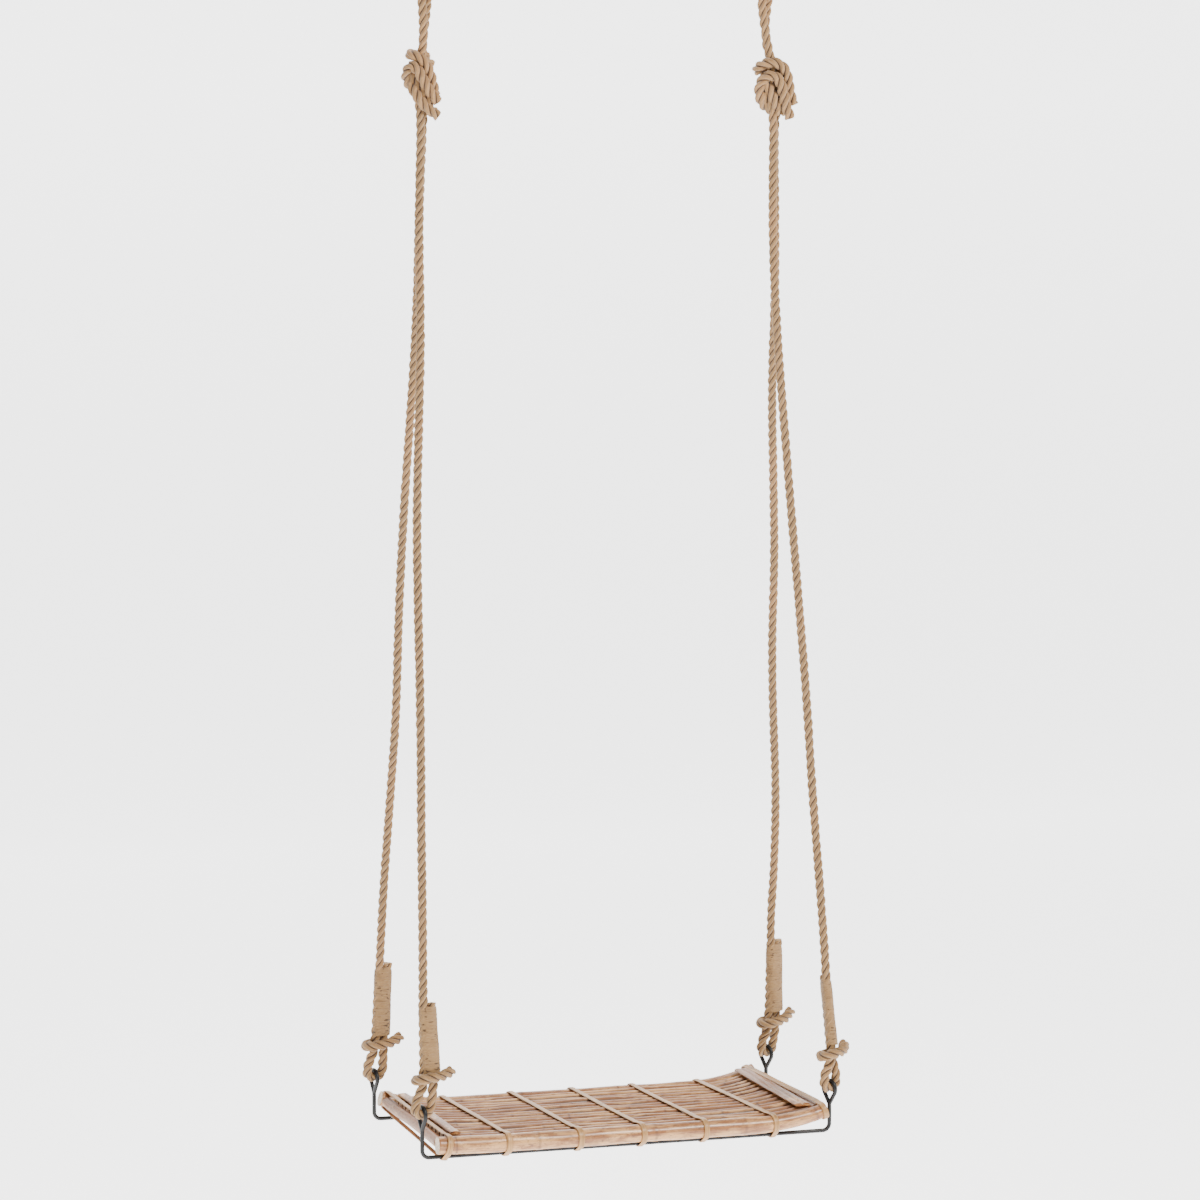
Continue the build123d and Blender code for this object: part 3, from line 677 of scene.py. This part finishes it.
class SWING_OT_knots(bpy.types.Operator):
    """Tie the two top knots: turns of rope round the core, each with its cut end"""

    bl_idname = "swing.knots"
    bl_label = "Top Knots"

    def execute(self, context):
        for number, (side, turns) in enumerate(KNOT_TURNS.items()):
            for count, turn in enumerate(turns):
                piece, _ = rope_piece(f"{side}_knot_turn_{count + 1}", knot_points(side, turn),
                                      40 + 9 * number + count, (0.35, 0.52, 0.78), FINE_STEP, full=1.26)
                nodes = [f"{side}_top_knot"] if count == 0 else []
                dress(piece, jute_rope(), "rope", f"{side}_rope", *nodes)
        return {"FINISHED"}


class SWING_OT_collars(bpy.types.Operator):
    """Lay one turn of rope round each pair under its whipping, with its cut end standing out"""

    bl_idname = "swing.collars"
    bl_label = "Collars"

    def execute(self, context):
        for number, corner in enumerate(PAIR_TURN):
            side, end = corner.split("_")
            turn = np.array(COLLAR_TURN) * (1, -1, 1) / MILLIMETRES
            turn[:, 2] += COLLAR_HEIGHT
            route = lower_points(side, end, PAIR_TURN[corner] * 0.3, turn)
            piece, _ = rope_piece(f"{corner}_collar_turn", route, 60 + number, (0.25, 0.30, 0.92),
                                  FINE_STEP, full=1.24)
            dress(piece, jute_rope(), "rope", f"{side}_rope", f"{corner}_collar")
        return {"FINISHED"}


def wound_twine(corner, side, end, seed):
    """A sleeve round two ropes. Its section is a superellipse with power 2.5, narrowed at the top
    by a bell curve. Its skin rises and falls as |sin| to the power 0.7, once for each turn."""
    ropes = settings("ropes")
    bottom, top = PAIR_LIE[corner][2:]
    turns = int((top - bottom) / ropes.twine)
    rows, columns = turns * 8 + 1, 48
    share = np.linspace(0.0, 1.0, rows)
    theta = turn_angles(columns)
    height = bottom + share * (top - bottom)
    half_width, half_depth = 2 * STRAND + 0.0002, ropes.radius + TWINE_SKIN
    power = 2.0 / 2.5
    across = half_width * fuller(np.cos(theta), power)
    deep = half_depth * fuller(np.sin(theta), power)
    wind = share[:, None] * turns + theta / (2 * np.pi) + ripple(share, seed, 0.4, 0.25)[:, None]
    depth = np.abs(np.sin(np.pi * wind)) ** 0.7
    turn_number = np.floor(wind)
    lumps = np.random.default_rng(seed).normal(0.0, 1.0, turns + 4)[turn_number.astype(int) + 1]
    shaped = 1.0 + 0.02 * np.sin(2 * np.pi * share * 1.5 + seed)[:, None] + 0.012 * lumps
    waist = 1.0 - 0.16 * np.exp(-((1.0 - share) / 0.045) ** 2)[:, None]
    swell = (shaped * waist)[..., None]
    ridge = (TWINE_RIDGE * depth)[..., None]
    outline = np.stack([across, deep], axis=-1)
    outward = unit(np.stack([np.cos(theta) / half_width, np.sin(theta) / half_depth], axis=-1))
    flat = outline * swell + outward * ridge
    local = np.concatenate([flat, np.broadcast_to(height[:, None, None], flat.shape[:2] + (1,))], axis=-1)
    rings = lower_points(side, end, PAIR_TURN[corner], local)
    girth = np.arange(columns + 1) * 2 * np.pi * TWINE_GIRTH / columns
    # The field groove is 1 on each turn's crest and 0 between turns. The finish paints shade by it.
    return surface(f"{corner}_twine", rings, height + 0.21 * seed, girth, fields={"groove": depth})


class SWING_OT_whippings(bpy.types.Operator):
    """Wind twine round each pair of strands"""

    bl_idname = "swing.whippings"
    bl_label = "Whippings"

    def execute(self, context):
        for number, corner in enumerate(PAIR_TURN):
            side, end = corner.split("_")
            piece = wound_twine(corner, side, end, 80 + number)
            dress(piece, jute_twine(), "twine", f"{side}_rope", f"{corner}_whipping")
        return {"FINISHED"}


class SWING_OT_ropes(bpy.types.Operator):
    """Lay both ropes, each from its front cut end over its ring to its back cut end"""

    bl_idname = "swing.ropes"
    bl_label = "Ropes"

    def execute(self, context):
        ropes = settings("ropes")
        for number, side in enumerate(SIDES):
            piece, line = rope_piece(f"{side}_swing_rope", rope_route(side), 3 + 11 * number,
                                     (0.06, 1.0, 0.05), loops=0.09)
            corners = [f"{side}_{end}" for end in ENDS]
            nodes = [f"{side}_bight"]
            nodes += [f"{corner}_{part}" for corner in corners for part in ("leg", "eye_loop")]
            dress(piece, jute_rope(), "rope", f"{side}_rope", *nodes)
            held = [f"{side}_knot_turn_{count + 1}" for count in range(len(KNOT_TURNS[side]))]
            held += [f"{corner}_{part}" for corner in corners for part in ("collar_turn", "twine")]
        return {"FINISHED"}


# ---- cane seat
RAIL_OUTSET = 0.007
RAIL_Y = EYE_Y + RAIL_OUTSET
SEAT_GAP = 0.0003
FRONT_RADIUS = 0.0155
FRONT_TIP_RADIUS = 0.0120
BACK_RADIUS = 0.0135
FRONT_RAIL = (0.024 - EYE_HALF, EYE_HALF - 0.009)
BACK_RAIL = (0.012 - EYE_HALF, EYE_HALF - 0.020)
FRONT_RAIL_Z, BACK_RAIL_Z = (
    BAR_Z + math.sqrt((BAR_RADIUS + SEAT_GAP + radius) ** 2 - RAIL_OUTSET ** 2)
    for radius in (FRONT_RADIUS, BACK_RADIUS))
BEND_START = 0.220
BEND_LENGTH = 0.126
LEFT_RISES = (0.003, 0.017)
RIGHT_RISES = (0.018, 0.028)
SLAT_RADII = (0.0098, 0.0091, 0.0099, 0.0088, 0.0096, 0.0093, 0.0100, 0.0090)
SLAT_COUNT = 14
SLAT_RAISE = 0.0035
SLAT_INSET = 0.0225
END_CANE_RADIUS = 0.0095
END_CANE_INSET = 0.009
BATTEN_WIDTH = {"left": 0.017, "right": 0.027}
BATTEN_INSET = {"left": (0.037, 0.037), "right": (0.036, 0.029)}  # at the front and at the back
BATTEN_THICKNESS = 0.006
BEARER_RADIUS = 0.0065
TIE_GAP = 0.0004  # between a tie and what it is pulled round
TIE_ROOM = 0.0016  # least room that a tie needs between a rail and the bar below
TIE_SINK = (0.010, 0.016)  # where a tie starts to sink inside the rail's middle, and over what length
TIE_FRONT_SHIFTS = (0.0, -0.0063, 0.0073, 0.0070, 0.0067, 0.0203, 0.0)
TIE_BACK_SHIFTS = (0.0, -0.0112, 0.0027, 0.0035, 0.0043, 0.0162, 0.0)
TIE_FRONT = np.linspace(FRONT_RAIL[0] + 0.017, FRONT_RAIL[1] - 0.006, 7) + TIE_FRONT_SHIFTS
TIE_BACK = np.linspace(BACK_RAIL[0] + 0.011, BACK_RAIL[1] - 0.012, 7) + TIE_BACK_SHIFTS


def across(y, front, back):
    """A value between the front rail and the back rail, by depth."""
    return front + (back - front) * (y + RAIL_Y) / (2 * RAIL_Y)


def cane_rise(x, y):
    """Height that the seat gains towards its ends: nothing up to the bend, then a circle whose
    radius gives the corner's rise at the end of the bend."""
    rise = np.where(x < 0, across(y, *LEFT_RISES), across(y, *RIGHT_RISES))
    circle = (BEND_LENGTH ** 2 + rise ** 2) / (2 * rise)
    beyond = np.maximum(0.0, np.abs(x) - BEND_START)
    return circle - np.sqrt(circle ** 2 - beyond ** 2)


def seat_z(x, y):
    """Height of the surface through the middles of both rails."""
    return across(y, FRONT_RAIL_Z, BACK_RAIL_Z) + cane_rise(x, y)


def slat_rows():
    """Radius and depth of each slat, with even gaps between the rails."""
    radii = np.resize(SLAT_RADII, SLAT_COUNT)
    front, back = -RAIL_Y + FRONT_RADIUS, RAIL_Y - BACK_RADIUS
    gap = (back - front - 2 * radii.sum()) / (SLAT_COUNT + 1)
    depth = front + gap * np.arange(1, SLAT_COUNT + 1) + 2 * np.cumsum(radii) - radii
    return radii, depth


def cane_piece(name, line, radius, seed, wobble=0.0006, around=28, step=0.0035, painted_side_shade=0.0):
    """A cane: a tube whose middle wanders slowly, whose section is slightly oval, and which swells
    by a bell curve and then pinches at each joint."""
    line, at = evenly(np.asarray(line, float), step)
    side, up, _ = carried_frames(line, (0.0, 0.0, 1.0))
    dice = np.random.default_rng(seed)
    joint = settings("canes").joint
    count = int(at[-1] / joint) + 2
    joints = joint * (np.arange(count) - dice.uniform(0.1, 0.9)) * dice.uniform(0.9, 1.15)
    joints = joints + dice.uniform(-0.2, 0.2, count) * joint
    gap = at[:, None] - joints
    swell = (0.05 * np.exp(-(gap / 0.0045) ** 2) - 0.035 * np.exp(-(gap / 0.0013) ** 2)).sum(axis=1)
    ring = np.exp(-(gap / 0.0016) ** 2).sum(axis=1)
    drift, lift = (ripple(at, seed + k, 0.30, wobble)[:, None] for k in (0, 1))
    centre = line + side * drift + up * lift
    theta = turn_angles(around)
    oval = 0.02 * np.cos(2 * theta[None] + ripple(at, seed + 2, 0.5, 1.0)[:, None])
    lumps = 0.010 * np.cos(3 * theta[None] + 40 * at[:, None] + seed)
    radius = np.broadcast_to(radius, at.shape) if np.ndim(radius) < 1 else np.interp(at, *radius)
    reach = radius[:, None] * (0.985 + oval + lumps + swell[:, None]
                               + ripple(at, seed + 3, 0.12, 0.012)[:, None])
    rings = rings_round(centre, side, up, theta[None], reach)
    rings, at, mark = with_cut_ends(rings, at, (0.95, 0.93, 0.5), 0.0)
    ring = np.pad(ring, 3)
    girth = np.arange(around + 1) * 2 * np.pi * float(radius.max()) / around
    # Painted shade: the field low rises down the cane's sides, below a wavering line. The skin is darkened
    # there as shade falling between the slats.
    edge = 0.84 + ripple(at, seed + 4, 0.07, 0.06)[:, None]
    low = painted_side_shade * np.clip((edge - np.sin(theta)) / 0.26, 0.0, 1.0) * (1 - mark[:, None])
    return surface(name, rings, at + 0.83 * seed, girth + 0.05 * seed,
                   fields={"joint": np.clip(ring, 0, 1)[:, None], "cut": mark[:, None], "low": low})


def cane_line(y, left, right, raised=0.0):
    """The line of a cane that runs along the seat at one depth."""
    x = np.linspace(left, right, 160)
    return np.column_stack([x, np.full(len(x), y), seat_z(x, y) + raised])


class SWING_OT_rails(bpy.types.Operator):
    """Make the front rail and the back rail"""

    bl_idname = "swing.rails"
    bl_label = "Rails"

    def execute(self, context):
        reach = FRONT_RAIL[1] - FRONT_RAIL[0]
        taper = ([0.0, BEND_START - FRONT_RAIL[0], reach], [FRONT_RADIUS, FRONT_RADIUS, FRONT_TIP_RADIUS])
        front = cane_piece("front_rail_cane", cane_line(-RAIL_Y, *FRONT_RAIL), taper, 101, 0.0003, 40, 0.0025)
        dress(front, cane_skin("rail_cane"), "rail_cane", "seat", "front_rail")
        back = cane_piece("back_rail_cane", cane_line(RAIL_Y, *BACK_RAIL), BACK_RADIUS,
                          105, 0.0003, 40, 0.0025)
        dress(back, cane_skin("rail_cane"), "rail_cane", "seat", "back_rail")
        return {"FINISHED"}


class SWING_OT_slats(bpy.types.Operator):
    """Make the slats between the rails"""

    bl_idname = "swing.slats"
    bl_label = "Slats"

    def execute(self, context):
        for number, (radius, y) in enumerate(zip(*slat_rows())):
            left = across(y, FRONT_RAIL[0], BACK_RAIL[0]) + SLAT_INSET
            right = across(y, FRONT_RAIL[1], BACK_RAIL[1]) - SLAT_INSET
            # The slats get painted shade down their sides.
            slat = cane_piece(f"slat_cane_{number + 1:02d}", cane_line(y, left, right, SLAT_RAISE),
                              float(radius), 120 + 5 * number, 0.0008, painted_side_shade=1.0)
            dress(slat, cane_skin("slat_cane"), "slat_cane", "seat", f"slat_{number + 1:02d}")
        return {"FINISHED"}


def rail_to_rail(front_x, back_x, raised, inset=0.0011):
    """A straight line from the inside of the front rail to that of the back rail."""
    y = np.linspace(-RAIL_Y + FRONT_RADIUS + inset, RAIL_Y - BACK_RADIUS - inset, 60)
    x = across(y, front_x, back_x)
    ends = seat_z(x[[0, -1]], y[[0, -1]]) + raised
    return np.column_stack([x, y, np.interp(y, y[[0, -1]], ends)])


def line_at_end(end, front_inset, back_inset, raised):
    """A straight line from rail to rail, its ends set in from the rails' tips."""
    sign = (-1.0, 1.0)[end]
    return rail_to_rail(FRONT_RAIL[end] - sign * front_inset, BACK_RAIL[end] - sign * back_inset, raised)


class SWING_OT_end_canes(bpy.types.Operator):
    """Make the cane that closes each end of the seat"""

    bl_idname = "swing.end_canes"
    bl_label = "End Canes"

    def execute(self, context):
        for end, side in enumerate(SIDES):
            line = line_at_end(end, END_CANE_INSET, END_CANE_INSET, 0.0)
            cane = cane_piece(f"{side}_end_cane_skin", line, END_CANE_RADIUS, 210 + 7 * end)
            dress(cane, cane_skin("end_cane_skin"), "rail_cane", "seat", f"{side}_end_cane")
        return {"FINISHED"}


class SWING_OT_bearers(bpy.types.Operator):
    """Make the bearers under the slats"""

    bl_idname = "swing.bearers"
    bl_label = "Bearers"

    def execute(self, context):
        for number in range(1, len(TIE_FRONT) - 1):
            low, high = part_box(f"bearer_{number}")
            line = rail_to_rail(TIE_FRONT[number], TIE_BACK[number], 0.0, 0.0005)
            line[:, 2] = (low[2] + high[2]) / 2
            bearer = cane_piece(f"bearer_cane_{number}", line, BEARER_RADIUS, 240 + 5 * number, 0.0003)
            dress(bearer, cane_skin("slat_cane"), "slat_cane", "seat", f"bearer_{number}")
        return {"FINISHED"}


def split_cane(name, line, width, crowns, seed):
    """A strip with a flat back. Its top is one crown, or two with a groove between them, each
    the upper half of a superellipse."""
    line, at = evenly(line, 0.003)
    tangent = carried_frames(line, (0.0, 0.0, 1.0))[2]
    flat = unit(np.cross(tangent, (0.0, 0.0, 1.0)))
    up = np.cross(flat, tangent)
    columns = 40
    theta = turn_angles(columns)
    x = np.cos(theta)
    inside = np.abs(x) % 1.0 if crowns == 1 else np.abs(2 * np.abs(x) - 1.0)
    top = 0.5 * BATTEN_THICKNESS * np.maximum(1.0 - inside ** 2.6, 0.0) ** 0.5
    under = -0.5 * BATTEN_THICKNESS * np.abs(np.sin(theta)) ** 0.3
    z = np.where(np.sin(theta) > 0, top - 0.1 * BATTEN_THICKNESS, under)
    narrow = 1.0 + ripple(at, seed, 0.14, 0.03)[:, None]
    lift = ripple(at, seed + 3, 0.16, 0.0003)[:, None]
    rings = (line[:, None] + (0.5 * width * narrow * x)[..., None] * flat[:, None]
             + (lift + z)[..., None] * up[:, None])
    rings, at, _ = with_cut_ends(rings, at, (0.95, 0.6, 0.3), 0.0)
    return surface(name, rings, at + seed, np.linspace(0, 2.2 * width, columns + 1))


class SWING_OT_battens(bpy.types.Operator):
    """Lay the split-cane battens over the slats' ends"""

    bl_idname = "swing.battens"
    bl_label = "Battens"

    def execute(self, context):
        raised = SLAT_RAISE + max(SLAT_RADII) + 2 * SEAT_GAP + BATTEN_THICKNESS / 2
        for end, side in enumerate(SIDES):
            line = line_at_end(end, *BATTEN_INSET[side], raised)
            piece = split_cane(f"{side}_batten_strip", line, BATTEN_WIDTH[side], 1 + end, 260 + end)
            dress(piece, cane_skin("end_cane_skin"), "split_cane", "seat", f"{side}_batten")
        return {"FINISHED"}


def resting_heights(path, start, along, thickness):
    """Heights of a strip that eases down from the rails to just above the slats."""
    y = start[1] + path[:, 0] * along[1]
    over = SLAT_RAISE + max(SLAT_RADII) + 0.55 * thickness
    inner = np.clip((RAIL_Y - TIE_SINK[0] - np.abs(y)) / TIE_SINK[1], 0.0, 1.0)
    inner = inner * inner * (3 - 2 * inner)
    return np.where(path[:, 1] > 0.004, path[:, 1] * (1 - inner) + over * inner, path[:, 1])


def tie_strip(number, front_x, back_x):
    """A closed strip. Its line is the outline of everything pulled round: for each direction,
    the furthest round in that direction gives the point. Over the slats it sinks to their
    tops. Its section is a rounded rectangle."""
    canes = settings("canes")
    start = np.array([front_x, -RAIL_Y, seat_z(front_x, -RAIL_Y)])
    finish = np.array([back_x, RAIL_Y, seat_z(back_x, RAIL_Y)])
    along = unit(finish - start)
    slope = np.mean([seat_z(x + 5e-4, y) - seat_z(x - 5e-4, y)
                     for x, y in ((front_x, -RAIL_Y), (back_x, RAIL_Y))]) * 1e3
    across_tie = np.array([1.0, 0.0, slope])
    across_tie = unit(across_tie - along * across_tie.dot(along))
    upward = np.cross(across_tie, along)
    tip = np.interp(front_x, (BEND_START, FRONT_RAIL[1]), (FRONT_RADIUS, FRONT_TIP_RADIUS))
    rounds = [(start, tip), (finish, BACK_RADIUS)]
    for (rail, radius), x, y in zip(rounds[:2], (front_x, back_x), (-EYE_Y, EYE_Y)):
        drift = abs(slope) * canes.tie_width / 2
        if rail[2] - radius - canes.tie_thickness < BAR_Z + BAR_RADIUS + TIE_ROOM + drift:
            below = np.array([x, y, BAR_Z])
            below[0] += (start - below) @ np.cross(along, upward) / np.cross(along, upward)[0]
            rounds.append((below, BAR_RADIUS + drift))
    centres = np.array([((place - start) @ along, (place - start) @ upward) for place, _ in rounds])
    radii = np.array([radius for _, radius in rounds]) + TIE_GAP + canes.tie_thickness / 2
    angle = np.linspace(0.0, 2 * np.pi, 720, endpoint=False)
    normal = np.column_stack([np.cos(angle), np.sin(angle)])
    furthest = np.argmax(normal @ centres.T + radii, axis=1)
    outline = centres[furthest] + radii[furthest, None] * normal
    closed = np.vstack([outline, outline[:1]])
    rows = 460
    at = np.linspace(0.0, distances(closed)[-1], rows, endpoint=False)
    path = points_at(closed, at, 1e-7)
    path[:, 1] = resting_heights(path, start, along, canes.tie_thickness)
    step = unit(np.roll(path, -1, axis=0) - np.roll(path, 1, axis=0))
    outward = np.column_stack([step[:, 1], -step[:, 0]])
    columns = 16
    theta = turn_angles(columns, 0.5)
    wide = 0.5 * canes.tie_width * fuller(np.cos(theta), 0.55)
    thick = 0.5 * canes.tie_thickness * fuller(np.sin(theta), 0.6)
    whole = at[-1] + at[1]
    drift = (0.0009 * np.sin(2 * np.pi * at / whole + number)
             + 0.0005 * np.sin(6 * np.pi * at / whole + 2 * number))
    width = 1.0 + 0.05 * np.sin(8 * np.pi * at / whole + number)
    line = start + path[:, :1] * along + path[:, 1:] * upward + drift[:, None] * across_tie
    out = outward[:, :1] * along + outward[:, 1:] * upward
    rings = (line[:, None] - (width[:, None] * wide)[..., None] * across_tie
             + np.broadcast_to(thick, (rows, columns))[..., None] * out[:, None])
    return surface(f"tie_strip_{number + 1}", rings, np.append(at, whole) + 0.3 * number,
                   np.linspace(0, 2.4 * canes.tie_width, columns + 1), looped=True)


class SWING_OT_ties(bpy.types.Operator):
    """Pull the peeled strips round the rails and over the slats"""

    bl_idname = "swing.ties"
    bl_label = "Ties"

    def execute(self, context):
        for number, (front_x, back_x) in enumerate(zip(TIE_FRONT, TIE_BACK)):
            piece = tie_strip(number, front_x, back_x)
            dress(piece, peeled_strip(), "tie_cane", "seat", f"tie_{number + 1}")
        return {"FINISHED"}


# ---- iron and stage
class SWING_OT_iron(bpy.types.Operator):
    """Finish the hangers and the ceiling fittings"""

    bl_idname = "swing.iron"
    bl_label = "Iron Parts"

    def execute(self, context):
        irons = ["front_hanger", "back_hanger"]
        irons += [f"{side}_{part}" for side in SIDES for part in ("ceiling_plate", "staple", "ring")]
        for name in irons:
            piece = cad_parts[name]
            piece.data.materials.clear()
            piece.data.materials.append(black_iron())
            piece.data.polygons.foreach_set("material_index", np.zeros(len(piece.data.polygons), np.int32))
        return {"FINISHED"}


def backdrop_paper(floor):
    """Backdrop paper: a level floor that turns up behind the swing in a quarter circle."""
    bend, reach, wide = 2.5, 6.0, 14.0
    rise = np.linspace(0.0, np.pi / 2, 24)
    y = np.concatenate([[-14.0], reach + bend * np.sin(rise), [reach + bend]])
    z = np.concatenate([[0.0], bend * (1 - np.cos(rise)), [9.0]]) + floor
    rows = np.stack([np.column_stack([np.full(len(y), x), y, z]) for x in (-wide, wide)], axis=1)
    i = np.arange(len(y) - 1)[:, None] * 2
    faces = i + np.array([0, 1, 3, 2])
    mesh = bpy.data.meshes.new("backdrop")
    mesh.from_pydata(rows.reshape(-1, 3).tolist(), [], faces.tolist())
    mesh.polygons.foreach_set("use_smooth", np.ones(len(mesh.polygons), bool))
    paper = bpy.data.objects.new("backdrop", mesh)
    paper.data.materials.append(pale_stage())
    bpy.context.scene.collection.objects.link(paper)


def soft_light(name, place, power, size, colour):
    """A square soft light turned towards the middle of the swing."""
    data = bpy.data.lights.new(name, "AREA")
    data.energy, data.size, data.color = power, size, colour
    lamp = bpy.data.objects.new(name, data)
    lamp.location = place
    away = np.array(place) - np.array([0.0, 0.0, -1.3])
    lamp.rotation_euler = (math.atan2(math.hypot(away[0], away[1]), away[2]), 0.0,
                           math.atan2(away[1], away[0]) + math.pi / 2)
    bpy.context.scene.collection.objects.link(lamp)


class SWING_OT_stage(bpy.types.Operator):
    """Set the backdrop, the lights and the camera"""

    bl_idname = "swing.stage"
    bl_label = "Stage"

    def execute(self, context):
        scene = context.scene
        stage = settings("stage")
        backdrop_paper(BAR_Z - stage.floor_drop)
        world = bpy.data.worlds.new("studio")
        world.use_nodes = True
        world.node_tree.nodes["Background"].inputs["Color"].default_value = (0.93, 0.96, 1.0, 1.0)
        world.node_tree.nodes["Background"].inputs["Strength"].default_value = 0.16
        scene.world = world
        soft_light("key", (1.7, -3.4, 1.5), 330.0, 0.9, (1.0, 0.95, 0.88))
        soft_light("top", (-0.3, 1.4, 1.6), 120.0, 1.6, (1.0, 1.0, 1.0))
        soft_light("fill", (-4.0, -3.0, -0.6), 45.0, 2.6, (0.95, 0.98, 1.0))
        camera = bpy.data.objects.new("camera", bpy.data.cameras.new("camera"))
        camera.data.lens = stage.lens
        camera.data.clip_end = 60.0
        camera.location = (stage.camera_x, stage.camera_y, stage.camera_z)
        camera.rotation_euler = (math.pi / 2 + stage.pitch, 0.0, stage.turn)
        scene.collection.objects.link(camera)
        scene.camera = camera
        return {"FINISHED"}


# ---- add-on
OPERATORS = (SWING_OT_stage, SWING_OT_knots, SWING_OT_collars, SWING_OT_whippings, SWING_OT_ropes,
             SWING_OT_rails, SWING_OT_slats, SWING_OT_end_canes, SWING_OT_bearers, SWING_OT_battens,
             SWING_OT_ties, SWING_OT_iron)


class SWING_PT_panel(bpy.types.Panel):
    """Lists the swing's pieces and settings"""

    bl_idname = "SWING_PT_panel"
    bl_label = "Rope Swing"
    bl_space_type = "VIEW_3D"
    bl_region_type = "UI"
    bl_category = "Rope Swing"

    def draw(self, context):
        for operator in OPERATORS:
            self.layout.operator(operator.bl_idname)
        for group in SETTINGS:
            box = self.layout.box()
            for key in SETTINGS[group].__annotations__:
                box.prop(settings(group), key)


def register():
    for group, kind in SETTINGS.items():
        bpy.utils.register_class(kind)
        setattr(bpy.types.Scene, "rope_swing_" + group, bpy.props.PointerProperty(type=kind))
    for kind in (*OPERATORS, SWING_PT_panel):
        bpy.utils.register_class(kind)


def unregister():
    for kind in (SWING_PT_panel, *reversed(OPERATORS)):
        bpy.utils.unregister_class(kind)
    for group, kind in SETTINGS.items():
        delattr(bpy.types.Scene, "rope_swing_" + group)
        bpy.utils.unregister_class(kind)


def main():
    register()
    for operator in OPERATORS:
        group, name = operator.bl_idname.split(".")
        getattr(getattr(bpy.ops, group), name)()


if __name__ == "__main__":
    main()
